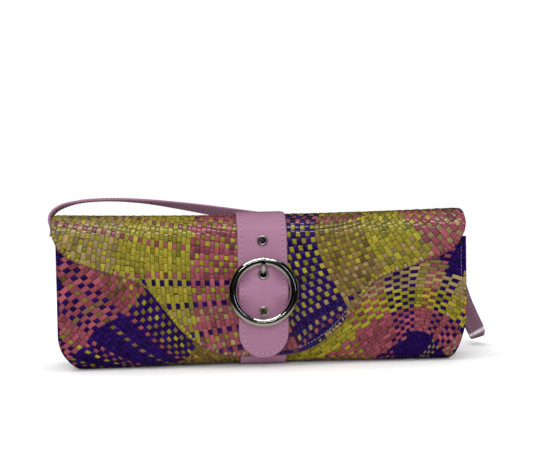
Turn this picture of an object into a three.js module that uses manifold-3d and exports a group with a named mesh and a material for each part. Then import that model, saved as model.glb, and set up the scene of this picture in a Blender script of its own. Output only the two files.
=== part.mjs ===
// Woven abaca shoulder bag with leather straps and a round buckle.
// Millimetres, +X to the bag's right end, -Y to its front, +Z up, origin under the middle of the base.

import * as THREE from "three";
import Module from "manifold-3d";

const wasm = await Module();
wasm.setup();

const GAP = 0.3; // clearance kept between pieces that lie on each other

const BAG = { height: 123.5 }; // crown of the flap above the table
const BODY = {
  halfWidth: 165,
  halfDepth: 28,
  mouth: 101.5, // upper edge of the front and back walls
  wall: 2,
  baseRadius: 15, // turn from the walls to the base
  endTaper: 14.5, // how far each end draws in at the table
  endTaperHeight: 28,
};
const GUSSET = { seam: 3, wall: 1.8, top: 98, bow: 4, clear: 0.5 };
const FLAP = { front: 31.4, back: 30.1, wall: 1.8, shoulder: 20, backEnd: 82, bracketShift: -2.4 };
const LINING = { wall: 1, show: 0.7, inset: FLAP.wall + GAP };
const SOFT = { bulge: 2.6, crownSag: 2.4, baseArch: 1.5, archNear: 26, archFar: 118 };

// Lower edge of the flap as height up the flat pattern, from the middle to each end.
const FLAP_EDGE = [
  { x: 0, height: 9 },
  { x: 20, height: 9.2 },
  { x: 28.5, height: 10.5 },
  { x: 36, height: 12.2 },
  { x: 47, height: 17.6 },
  { x: 57, height: 24.8 },
  { x: 66, height: 33.5 },
  { x: 74.4, height: 44.6 },
  { x: 82, height: 55 },
  { x: 89.6, height: 64.6 },
  { x: 97, height: 69.9 },
  { x: 106, height: 73.4 },
  { x: 119.5, height: 77.7 },
  { x: 133, height: 82 },
  { x: 147, height: 87.3 },
  { x: 155, height: 91.6 },
  { x: 161, height: 97.8 },
  { x: 165, height: 105.5 },
  { x: 166.5, height: 113 },
];

const CLOSURE = { halfWidth: 19.8, wall: 1.8, tip: 7.6, tipLength: 20, backEnd: 85 };
const BUCKLE = { height: 61, radius: 24.4, tube: 3.6, barRadius: 1, barStand: 2.45, ringStand: 6.9 };
const PRONG = { halfWidth: 1.45, wall: 1.5, loopInner: 1.35, loopOuter: 2.15 };
const BASE_STRAP = { halfWidth: 18.5, wall: 1, backTop: 79, frontTurn: THREE.MathUtils.degToRad(65) };
const EYELET = { hole: 2.35, barrel: 2.75, flange: 4.35, crown: 0.9, seat: 2.95 };
const EYELETS = [
  { name: "eyelet_upper", height: 103 },
  { name: "eyelet_prong", height: BUCKLE.height + 14.1 },
  { name: "eyelet_lower", height: BUCKLE.height - 15.7 },
];
const SHOULDER = { halfWidth: 7.5, wall: 2.6, edgeWall: 1.8, edge: 1.1, steps: 66 };

// Shoulder strap from inside the left gusset, over the bag, behind it and up into the right end.
// x, y, z is the centreline, and nx, ny, nz is the way the strap's outer face looks.
const SHOULDER_ROUTE = [
  { x: -155.6, y: 2, z: 76, nx: -1, ny: 0, nz: 0.06 },
  { x: -156.4, y: 2, z: 91, nx: -1, ny: 0, nz: 0.08 },
  { x: -157.8, y: 2, z: 102.8, nx: -0.85, ny: 0, nz: 0.5 },
  { x: -163.2, y: 3.6, z: 109.4, nx: -0.7, ny: 0, nz: 0.75 },
  { x: -169.8, y: 5.8, z: 114.2, nx: -0.9, ny: 0.05, nz: 0.4 },
  { x: -170.5, y: 7.8, z: 122, nx: -0.95, ny: 0.05, nz: 0.35 },
  { x: -165.2, y: 10.4, z: 128.4, nx: -0.75, ny: 0.02, nz: 0.65 },
  { x: -149.6, y: 17, z: 133.6, nx: -0.25, ny: 0, nz: 1 },
  { x: -127, y: 23, z: 135.2, nx: -0.02, ny: 0.02, nz: 1 },
  { x: -98, y: 29, z: 133.6, nx: 0.04, ny: 0.12, nz: 1 },
  { x: -61, y: 35, z: 128.3, nx: 0.1, ny: 0.38, nz: 0.9 },
  { x: -21, y: 39, z: 121, nx: 0.12, ny: 0.62, nz: 0.78 },
  { x: 18, y: 41.5, z: 113, nx: 0.12, ny: 0.86, nz: 0.5 },
  { x: 56, y: 44.5, z: 104.4, nx: 0.1, ny: 0.97, nz: 0.25 },
  { x: 94, y: 49, z: 93.6, nx: 0.05, ny: 1, nz: 0.1 },
  { x: 130, y: 56, z: 80, nx: 0, ny: 1, nz: 0 },
  { x: 160, y: 63, z: 63, nx: 0, ny: 1, nz: -0.05 },
  { x: 179.5, y: 66.5, z: 47, nx: 0.1, ny: 1, nz: -0.05 },
  { x: 189, y: 66.5, z: 33, nx: 0.2, ny: 1, nz: -0.1 },
  { x: 195.6, y: 64, z: 17, nx: 0.25, ny: 0.95, nz: -0.3 },
  { x: 199.4, y: 57.4, z: 6.8, nx: 0.3, ny: 0.15, nz: -1 },
  { x: 195.4, y: 50.5, z: 13.4, nx: 0.2, ny: -1, nz: -0.35 },
  { x: 188.2, y: 47, z: 28, nx: 0.15, ny: -1, nz: 0 },
  { x: 181, y: 41, z: 43, nx: 0.25, ny: -1, nz: 0 },
  { x: 173.2, y: 28, z: 66, nx: 0.7, ny: -0.7, nz: 0 },
  { x: 168.6, y: 14, z: 89, nx: 0.95, ny: -0.25, nz: 0.05 },
  { x: 165.6, y: 6, z: 101.8, nx: 0.85, ny: -0.05, nz: 0.5 },
  { x: 160.2, y: 3, z: 106.4, nx: 0.1, ny: 0, nz: 1 },
  { x: 156.8, y: 2, z: 99.8, nx: -0.95, ny: 0, nz: 0.3 },
  { x: 156.2, y: 2, z: 84, nx: -1, ny: 0, nz: 0.06 },
];

const COLOURS = {
  woven: 0x8a6a44,
  wovenDark: 0x3c1c52,
  leather: 0xb27b98,
  lining: 0x8d5a72,
  chrome: 0xc8ccd2,
};

function smoothstep(from, to, value) {
  const share = THREE.MathUtils.clamp((value - from) / (to - from), 0, 1);
  return share * share * (3 - 2 * share);
}

function steps(from, to, count) {
  return Array.from({ length: count + 1 }, (_, k) => from + ((to - from) * k) / count);
}

// The soft set of the bag: front and back swell, and the crown sags between its ends.
function settle(x, y, z) {
  const across = Math.max(0, 1 - (x / BODY.halfWidth) ** 2);
  const up = THREE.MathUtils.clamp(z / BAG.height, 0, 1);
  const swell = (SOFT.bulge / BODY.halfDepth) * across * 4 * up * (1 - up);
  const sag = SOFT.crownSag * across * smoothstep(60, BAG.height, z);
  return new THREE.Vector3(x, y * (1 + swell), z - sag);
}

// A closed wall between two grids of points that match row by row and column by column.
function wall(outer, inner) {
  const rows = outer.length;
  const columns = outer[0].length;
  const points = [...outer.flat(), ...inner.flat()];
  const at = (side, row, column) => (side * rows + row) * columns + column;
  const corners = [];
  const quad = (a, b, c, d) => corners.push(a, b, c, a, c, d);
  for (let r = 0; r < rows - 1; r++) {
    for (let c = 0; c < columns - 1; c++) {
      quad(at(0, r, c), at(0, r + 1, c), at(0, r + 1, c + 1), at(0, r, c + 1));
      quad(at(1, r, c), at(1, r, c + 1), at(1, r + 1, c + 1), at(1, r + 1, c));
    }
    quad(at(0, r, 0), at(1, r, 0), at(1, r + 1, 0), at(0, r + 1, 0));
    const last = columns - 1;
    quad(at(0, r, last), at(0, r + 1, last), at(1, r + 1, last), at(1, r, last));
  }
  for (let c = 0; c < columns - 1; c++) {
    quad(at(0, 0, c), at(0, 0, c + 1), at(1, 0, c + 1), at(1, 0, c));
    const last = rows - 1;
    quad(at(0, last, c), at(1, last, c), at(1, last, c + 1), at(0, last, c + 1));
  }
  const geometry = new THREE.BufferGeometry().setFromPoints(points);
  geometry.setIndex(facingOut(points, corners));
  geometry.computeVertexNormals();
  return geometry;
}

// Triangle corners turned so that the closed surface faces out.
function facingOut(points, corners) {
  let volume = 0;
  for (let k = 0; k < corners.length; k += 3) {
    const [a, b, c] = corners.slice(k, k + 3).map((corner) => points[corner]);
    volume += a.dot(b.clone().cross(c));
  }
  return volume > 0 ? corners : corners.toReversed();
}

// Joins and cuts of closed solids.
function solidOf(geometry) {
  const index = geometry.getIndex();
  const mesh = new wasm.Mesh({
    numProp: 3,
    vertProperties: new Float32Array(geometry.getAttribute("position").array),
    triVerts: new Uint32Array(index.array),
  });
  mesh.merge();
  return new wasm.Manifold(mesh);
}

function geometryOf(solid) {
  const mesh = solid.getMesh();
  const geometry = new THREE.BufferGeometry();
  geometry.setAttribute("position", new THREE.BufferAttribute(mesh.vertProperties, 3));
  geometry.setIndex(new THREE.BufferAttribute(mesh.triVerts, 1));
  geometry.computeVertexNormals();
  return geometry;
}

// Body

function endHalfWidth(z) {
  const low = Math.max(0, 1 - z / BODY.endTaperHeight);
  return BODY.halfWidth - BODY.endTaper * low * low;
}

// Section of the body wall from the front mouth, round the base, to the back mouth.
function bodySection(inset) {
  const { halfDepth, baseRadius, mouth } = BODY;
  const section = steps(mouth, baseRadius, 4).map((z) => [inset - halfDepth, z]);
  for (const turn of steps(0, Math.PI / 2, 6).slice(1)) {
    const radius = baseRadius - inset;
    section.push([baseRadius - halfDepth - radius * Math.cos(turn), baseRadius - radius * Math.sin(turn)]);
  }
  const back = section.map(([y, z]) => [-y, z]).reverse();
  return [...section, [0, inset], ...back];
}

function bodyWrap() {
  const outline = bodySection(0);
  const lifted = (x, y, z, outerZ) => {
    const near = smoothstep(SOFT.archFar, SOFT.archNear, Math.abs(x));
    const low = 1 - outerZ / BODY.mouth;
    return settle(x, y, z + SOFT.baseArch * near * low);
  };
  const grid = (section) =>
    steps(-1, 1, 16).map((share) =>
      section.map(([y, z], k) => lifted(share * endHalfWidth(outline[k][1]), y, z, outline[k][1])),
    );
  return wall(grid(outline), grid(bodySection(BODY.wall)));
}

// Half the space between the front and back walls at a height.
function innerHalfDepth(z) {
  const { halfDepth, baseRadius } = BODY;
  const radius = baseRadius - BODY.wall;
  const below = Math.max(0, baseRadius - z);
  return halfDepth - baseRadius + Math.sqrt(Math.max(0, radius * radius - below * below));
}

function gusset(side) {
  const heights = [BODY.wall + GAP, 4.5, 8, 13, 20, 32, 46, 60, 74, 86, GUSSET.top];
  const grid = (inset) =>
    heights.map((z) =>
      steps(-1, 1, 6).map((share) => {
        const bow = GUSSET.bow * (1 - share * share) * Math.sin((Math.PI * z) / BODY.mouth);
        const x = endHalfWidth(z) - GUSSET.seam - bow - inset;
        return settle(side * x, share * (innerHalfDepth(z) - GUSSET.clear), z);
      }),
    );
  return wall(grid(0), grid(GUSSET.wall));
}

// Flap

const RISER = BAG.height - FLAP.shoulder;
const SHOULDER_ARC = (FLAP.shoulder * Math.PI) / 2;
const CROWN = FLAP.front + FLAP.back - 2 * FLAP.shoulder;
const FRONT_TOP = RISER + SHOULDER_ARC;
const BACK_TOP = FRONT_TOP + CROWN;
const BACK_RISER = BACK_TOP + SHOULDER_ARC;

// Point [y, z] on the flap at a length up its front, over its crown and down its back.
function flapSection(length, inset) {
  const { front, back, shoulder } = FLAP;
  const radius = shoulder - inset;
  if (length < RISER) {
    return [inset - front, length];
  }
  if (length < FRONT_TOP) {
    const turn = (length - RISER) / shoulder;
    return [shoulder - front - radius * Math.cos(turn), RISER + radius * Math.sin(turn)];
  }
  if (length < BACK_TOP) {
    return [shoulder - front + length - FRONT_TOP, BAG.height - inset];
  }
  if (length < BACK_RISER) {
    const turn = (length - BACK_TOP) / shoulder;
    return [back - shoulder + radius * Math.sin(turn), RISER + radius * Math.cos(turn)];
  }
  return [back - inset, RISER - (length - BACK_RISER)];
}

const edgeCurve = new THREE.CatmullRomCurve3(FLAP_EDGE.map(({ x, height }) => new THREE.Vector3(x, height, 0)));

// Columns of the flap, each with its place across the bag and the height of its lower edge.
const flapColumns = (() => {
  const half = edgeCurve.getSpacedPoints(18).map(({ x, y }) => ({ x, edge: y }));
  const left = half.slice(1).map(({ x, edge }) => ({ x: -x, edge }));
  const end = FLAP_EDGE.at(-1).x;
  const shifted = ({ x, edge }) => ({ x: x + FLAP.bracketShift * (1 - (x / end) ** 2), edge });
  return [...left.reverse(), ...half].map(shifted);
})();

function flapLayer(inset, layer, show, [front, turn, crown], end) {
  const grid = (depth) =>
    flapColumns.map(({ x, edge }) => {
      const low = edge - show;
      const knee = Math.max(RISER, low + 5);
      const lengths = [
        ...steps(low, knee, front),
        ...steps(knee, FRONT_TOP, turn).slice(1),
        ...steps(FRONT_TOP, BACK_TOP, crown).slice(1),
        ...steps(BACK_TOP, BACK_RISER, turn).slice(1),
        ...end.map((z) => BACK_RISER + RISER - z),
      ];
      return lengths.map((length) => settle(x, ...flapSection(length, depth)));
    });
  return wall(grid(inset), grid(inset + layer));
}

// Straps on the flap

// How far the closure strap's under side stands off the flap: it bows out over the prong's loop,
// far along its middle, which lies on the prong, and only a little way along its edges.
function closureStand(x, length) {
  const middle = length < BUCKLE.height ? 24 : 36;
  const reach = THREE.MathUtils.lerp(middle, 13.5, smoothstep(4, 17, Math.abs(x)));
  const share = Math.min(1, Math.abs(length - BUCKLE.height) / reach);
  const over = BUCKLE.barStand + PRONG.loopOuter + 0.25;
  return GAP + (over - GAP) * Math.cos((share * Math.PI) / 2) ** 2;
}

function onClosure(x, length, depth) {
  return settle(x, ...flapSection(length, -closureStand(x, length) - depth));
}

function closureStrap() {
  const { tip, tipLength, halfWidth } = CLOSURE;
  const round = [0.012, 0.06, 0.15, 0.28, 0.44, 0.62, 0.8, 1].map((share) => tip + tipLength * share);
  const lengths = [
    ...round,
    ...steps(tip + tipLength, RISER, 18).slice(1),
    ...steps(RISER, FRONT_TOP, 6).slice(1),
    ...steps(FRONT_TOP, BACK_TOP, 2).slice(1),
    ...steps(BACK_TOP, BACK_RISER, 5).slice(1),
    BACK_RISER + RISER - CLOSURE.backEnd,
  ];
  const grid = (depth) =>
    lengths.map((length) => {
      const left = Math.max(0, 1 - (length - tip) / tipLength);
      const half = halfWidth * Math.sqrt(1 - left * left);
      return steps(-half, half, 6).map((x) => onClosure(x, length, depth));
    });
  const strap = solidOf(wall(grid(CLOSURE.wall), grid(0)));
  const holes = EYELETS.map(({ height }) => solidOf(placedOnClosure(drum(EYELET.seat, 12), height)));
  return geometryOf(holes.reduce((left, hole) => left.subtract(hole), strap));
}

// A drum about Y, closed at both ends.
function drum(radius, length) {
  return new THREE.CylinderGeometry(radius, radius, length, 20);
}

// Turns a piece about Y so that it stands square on the closure strap's outer face.
function placedOnClosure(geometry, height) {
  const place = onClosure(0, height, CLOSURE.wall);
  const along = onClosure(0, height + 1, CLOSURE.wall).sub(onClosure(0, height - 1, CLOSURE.wall));
  const lean = Math.atan2(along.y, along.z);
  return geometry.rotateX(-lean).translate(place.x, place.y, place.z);
}

function eyelet(height) {
  const { hole, barrel, flange, crown } = EYELET;
  const section = [
    [hole, CLOSURE.wall],
    [barrel, CLOSURE.wall],
    [barrel, -0.25],
    [flange, -0.25],
    [flange - 0.15, -0.25 - crown * 0.55],
    [flange - 0.8, -0.25 - crown],
    [hole + 0.55, -0.25 - crown],
    [hole, -0.25 - crown * 0.4],
    [hole, CLOSURE.wall],
  ].map(([radius, depth]) => new THREE.Vector2(radius, depth));
  return placedOnClosure(solidGeometry(new THREE.LatheGeometry(section, 16)), height);
}

// A turned or plain solid with its doubled seam points joined, facing out.
function solidGeometry(geometry) {
  const solid = geometry.clone();
  const place = solid.getAttribute("position");
  const points = Array.from({ length: place.count }, (_, k) => new THREE.Vector3().fromBufferAttribute(place, k));
  solid.setIndex(facingOut(points, [...solid.getIndex().array]));
  return geometryOf(solidOf(solid));
}

// Buckle

const BUCKLE_FRONT = settle(0, -FLAP.front, BUCKLE.height).y;

function rod(radius, from, to) {
  const way = to.clone().sub(from);
  const turn = new THREE.Quaternion().setFromUnitVectors(new THREE.Vector3(0, 1, 0), way.clone().normalize());
  const middle = from.clone().add(to).multiplyScalar(0.5);
  return new THREE.CylinderGeometry(radius, radius, way.length(), 16).applyQuaternion(turn).translate(...middle);
}

function buckleRing() {
  const { height, radius, tube, barRadius, barStand, ringStand } = BUCKLE;
  const ringY = BUCKLE_FRONT - ringStand;
  const barY = BUCKLE_FRONT - barStand;
  const ring = new THREE.TorusGeometry(radius, tube, 10, 40).rotateX(Math.PI / 2).translate(0, ringY, height);
  const barEnd = radius - 0.5;
  const ends = [-1, 1].map((side) => new THREE.Vector3(side * barEnd, barY, height));
  const bar = rod(barRadius, ...ends);
  const posts = ends.map((end) => rod(1.5, end.clone().setY(barY + 1), end.clone().setY(ringY)));
  return geometryOf([bar, ...posts].reduce((whole, part) => whole.add(solidOf(part)), solidOf(ring)));
}

// A band of even thickness along a line of [stand, height] points off the flap at the buckle.
function bandAlong(line, thickness, across, place) {
  const offsets = line.map(([stand, height], k) => {
    const [fromStand, fromHeight] = line[Math.max(0, k - 1)];
    const [toStand, toHeight] = line[Math.min(line.length - 1, k + 1)];
    const way = new THREE.Vector2(toStand - fromStand, toHeight - fromHeight).normalize();
    return { stand, height, away: new THREE.Vector2(-way.y, way.x).multiplyScalar(thickness / 2) };
  });
  const grid = (sign) =>
    across.map((x) =>
      offsets.map(({ stand, height, away }) => place(x, stand + sign * away.x, height + sign * away.y)),
    );
  return wall(grid(1), grid(-1));
}

function buckleProng(line) {
  const place = (x, stand, height) => new THREE.Vector3(x, BUCKLE_FRONT - stand, BUCKLE.height + height);
  const across = [-PRONG.halfWidth, PRONG.halfWidth];
  const stem = solidOf(bandAlong(line, PRONG.wall, across, place));
  const loop = solidOf(rod(PRONG.loopOuter, ...across.map((x) => place(x, BUCKLE.barStand, 0))));
  const eye = solidOf(rod(PRONG.loopInner, ...across.map((x) => place(2 * x, BUCKLE.barStand, 0))));
  return geometryOf(stem.add(loop).subtract(eye));
}

// Line of the prong as stand off the flap and height above the centre bar.
const PRONG_LINE = new THREE.SplineCurve(
  [
    { stand: 2.45, height: 1.75 },
    { stand: 2.1, height: 6 },
    { stand: 1.9, height: 10.2 },
    { stand: 3.2, height: 13.1 },
    { stand: 5.4, height: 14.5 },
    { stand: 7.7, height: 16.4 },
    { stand: 10.2, height: 20 },
    { stand: 11.55, height: 24.4 },
    { stand: 11, height: 27.6 },
  ].map(({ stand, height }) => new THREE.Vector2(stand, height)),
)
  .getPoints(26)
  .map(({ x, y }) => [x, y]);

// Base strap

// Band down the back, round the base and up to the front, where its end lies under the flap's edge.
function baseStrap() {
  const { wall: thick, frontTurn, backTop, halfWidth } = BASE_STRAP;
  const half = thick / 2;
  const side = BODY.halfDepth + GAP + half;
  const radius = side - BODY.halfDepth + BODY.baseRadius;
  const turned = (sign, turn) => [
    sign * (side - radius + radius * Math.sin(turn)),
    half + radius - radius * Math.cos(turn),
  ];
  const line = [
    ...steps(backTop, radius + half, 4).map((z) => [side, z]),
    ...steps(Math.PI / 2, 0, 7).slice(1).map((turn) => turned(1, turn)),
    [0, half],
    ...steps(0, frontTurn, 6).map((turn) => turned(-1, turn)),
  ];
  return bandAlong(line, thick, steps(-halfWidth, halfWidth, 2), settle);
}

// Shoulder strap

function shoulderStrap() {
  const centre = new THREE.CatmullRomCurve3(SHOULDER_ROUTE.map(({ x, y, z }) => new THREE.Vector3(x, y, z)));
  const facing = new THREE.CatmullRomCurve3(SHOULDER_ROUTE.map(({ nx, ny, nz }) => new THREE.Vector3(nx, ny, nz)));
  const { halfWidth, wall: thick, edgeWall, edge } = SHOULDER;
  const columns = [
    { across: -halfWidth, thick: edgeWall },
    { across: edge - halfWidth, thick },
    { across: halfWidth - edge, thick },
    { across: halfWidth, thick: edgeWall },
  ];
  const frames = steps(0, 1, SHOULDER.steps).map((length) => {
    const share = centre.getUtoTmapping(length);
    const along = centre.getTangent(share);
    const across = along.clone().cross(facing.getPoint(share)).normalize();
    return { middle: centre.getPoint(share), across, out: across.clone().cross(along) };
  });
  const grid = (sign) =>
    frames.map(({ middle, across, out }) =>
      columns.map((column) =>
        middle
          .clone()
          .addScaledVector(across, column.across)
          .addScaledVector(out, (sign * column.thick) / 2),
      ),
    );
  return wall(grid(1), grid(-1));
}

function metal(colour) {
  return new THREE.MeshStandardMaterial({ color: colour, metalness: 1, roughness: 0.2 });
}

function cloth(colour) {
  return new THREE.MeshStandardMaterial({ color: colour, metalness: 0, roughness: 0.5 });
}

const group = new THREE.Group();
group.name = "abaca_shoulder_bag";

function add(name, geometry, material) {
  const mesh = new THREE.Mesh(geometry, material);
  mesh.name = name;
  group.add(mesh);
}

add("body_wrap", bodyWrap(), cloth(COLOURS.wovenDark));
add("gusset_left", gusset(-1), cloth(COLOURS.wovenDark));
add("gusset_right", gusset(1), cloth(COLOURS.wovenDark));
add("flap", flapLayer(0, FLAP.wall, 0, [5, 4, 2], [FLAP.backEnd]), cloth(COLOURS.woven));
add("flap_lining", flapLayer(LINING.inset, LINING.wall, LINING.show, [4, 4, 1], []), cloth(COLOURS.lining));
add("closure_strap", closureStrap(), cloth(COLOURS.leather));
for (const { name, height } of EYELETS) {
  add(name, eyelet(height), metal(COLOURS.chrome));
}
add("buckle_ring", buckleRing(), metal(COLOURS.chrome));
add("buckle_prong", buckleProng(PRONG_LINE), metal(COLOURS.chrome));
add("base_strap", baseStrap(), cloth(COLOURS.leather));
add("shoulder_strap", shoulderStrap(), cloth(COLOURS.leather));

export default group;
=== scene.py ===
"""Woven abaca shoulder bag: plaited walls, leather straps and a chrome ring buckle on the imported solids."""

import logging
import math
from dataclasses import dataclass, field
from enum import Enum
from functools import partial
from typing import Callable, Iterable

import bmesh
import bpy
import numpy as np
from mathutils import Matrix, Vector


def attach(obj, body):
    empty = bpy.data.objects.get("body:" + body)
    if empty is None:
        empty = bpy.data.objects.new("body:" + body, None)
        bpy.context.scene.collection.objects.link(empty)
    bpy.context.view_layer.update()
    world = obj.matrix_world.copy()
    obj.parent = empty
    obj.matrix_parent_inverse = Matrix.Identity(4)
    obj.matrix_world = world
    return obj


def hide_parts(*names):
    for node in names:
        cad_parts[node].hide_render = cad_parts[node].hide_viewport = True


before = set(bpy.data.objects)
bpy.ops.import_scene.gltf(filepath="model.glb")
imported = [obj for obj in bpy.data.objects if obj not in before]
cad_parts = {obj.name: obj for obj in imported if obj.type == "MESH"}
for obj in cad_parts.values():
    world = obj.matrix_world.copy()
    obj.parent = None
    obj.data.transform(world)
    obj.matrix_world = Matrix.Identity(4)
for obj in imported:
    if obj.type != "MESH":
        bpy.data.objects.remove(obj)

LOG = logging.getLogger("abaca_bag")
MM = 0.001
ROOT = "root"
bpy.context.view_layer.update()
QUARTER_TURN = math.pi / 2
WHITE = (1.0, 1.0, 1.0)
DYE_LAYER = "strand"
STRIP_MAP = "strip"
Points = np.ndarray
Surface = Callable[[Points, Points, Points], Points]
Sheet = Callable[[Points, Points], Points]
Pair = tuple[float, float]
Triple = tuple[float, float, float]
Shape = bmesh.types.BMesh
Piece = bpy.types.Object
Material = bpy.types.Material
Tree = bpy.types.NodeTree
Node = bpy.types.Node
Socket = bpy.types.NodeSocket


class Strand(Enum):
    """Dyed colours of the abaca strips, as linear RGB."""

    TAN = (0.192, 0.136, 0.056)
    BRONZE = (0.130, 0.078, 0.020)
    YELLOW = (0.198, 0.165, 0.012)
    PINK = (0.182, 0.040, 0.054)
    PURPLE = (0.0100, 0.0003, 0.054)
    BROWN = (0.130, 0.062, 0.036)


TAN, BRONZE, YELLOW, PINK, PURPLE, BROWN = Strand


class Strips(Enum):
    """Which of the two crossing sets of strips a change reaches."""

    COLUMNS = "columns"
    ROWS = "rows"
    BOTH = "both"


class Lit(Enum):
    """What a lamp lights: the matt light of all surfaces, or the mirror light of glossy ones."""

    MATT = "matt"
    GLOSS = "gloss"


@dataclass(frozen=True)
class Band:
    """A run of neighbouring strips of one colour."""

    colour: Strand
    count: int


@dataclass(frozen=True)
class Patch:
    """A stretch of a layout where the strips take another colour."""

    columns: tuple[int, int]
    rows: tuple[int, int]
    colour: Strand
    strips: Strips


@dataclass(frozen=True)
class Term:
    """One power term of a strip layout: column**i * row**j times a place on the panel in mm."""

    i: int
    j: int
    across: float
    along: float


def bands(*runs: tuple[Strand, int]) -> tuple[Band, ...]:
    """Makes a chart of runs of strips."""
    return tuple(Band(colour, count) for colour, count in runs)


def dye_rows(colours: Iterable[Strand]) -> Points:
    """One RGB row for each dye."""
    return np.array([colour.value for colour in colours])


def turned_ends(across: Points, along: Points) -> Points:
    """Colours of turned strip ends along a seam: two pink ones and three purple ones in turn."""
    return np.where((np.arange(len(across)) % 5 < 2)[:, None], PINK.value, PURPLE.value)


def smoothstep(low: float, high: float, value: Points) -> Points:
    """Eases from 0 at low to 1 at high."""
    share = np.clip((np.asarray(value, float) - low) / (high - low), 0.0, 1.0)
    return share * share * (3.0 - 2.0 * share)


def unit(rows: Points) -> Points:
    """Scales each row to a length of 1."""
    return rows / np.linalg.norm(rows, axis=-1, keepdims=True)


def run_of(line: Points) -> Points:
    """Lengths along a line at its points, from 0."""
    return np.concatenate([[0.0], np.cumsum(np.linalg.norm(np.diff(line, axis=0), axis=1))])


def read_line(where: Points, run: Points, table: Points) -> Points:
    """Reads the rows of a table at lengths along a line."""
    return np.stack([np.interp(where, run, column) for column in table.T], -1)


def blunted(wave: Points, power: float) -> Points:
    """Squares a wave towards its peaks, which rounds the corners of a flat section."""
    return np.sign(wave) * np.abs(wave) ** power


def smooth_line(knots: Points, values: Points, at: Points) -> Points:
    """Reads a smooth curve through values at knots.

    Args:
        knots: Where the values stand.
        values: The values.
        at: Where the curve is read.

    Returns:
        The curve's values.
    """
    slope = np.gradient(values, knots)
    k = np.clip(np.searchsorted(knots, at, side="right") - 1, 0, len(knots) - 2)
    step = knots[k + 1] - knots[k]
    t = (at - knots[k]) / step
    low = (2 * t ** 3 - 3 * t ** 2 + 1) * values[k] + (t ** 3 - 2 * t ** 2 + t) * step * slope[k]
    return low + (3 * t ** 2 - 2 * t ** 3) * values[k + 1] + (t ** 3 - t ** 2) * step * slope[k + 1]


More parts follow.
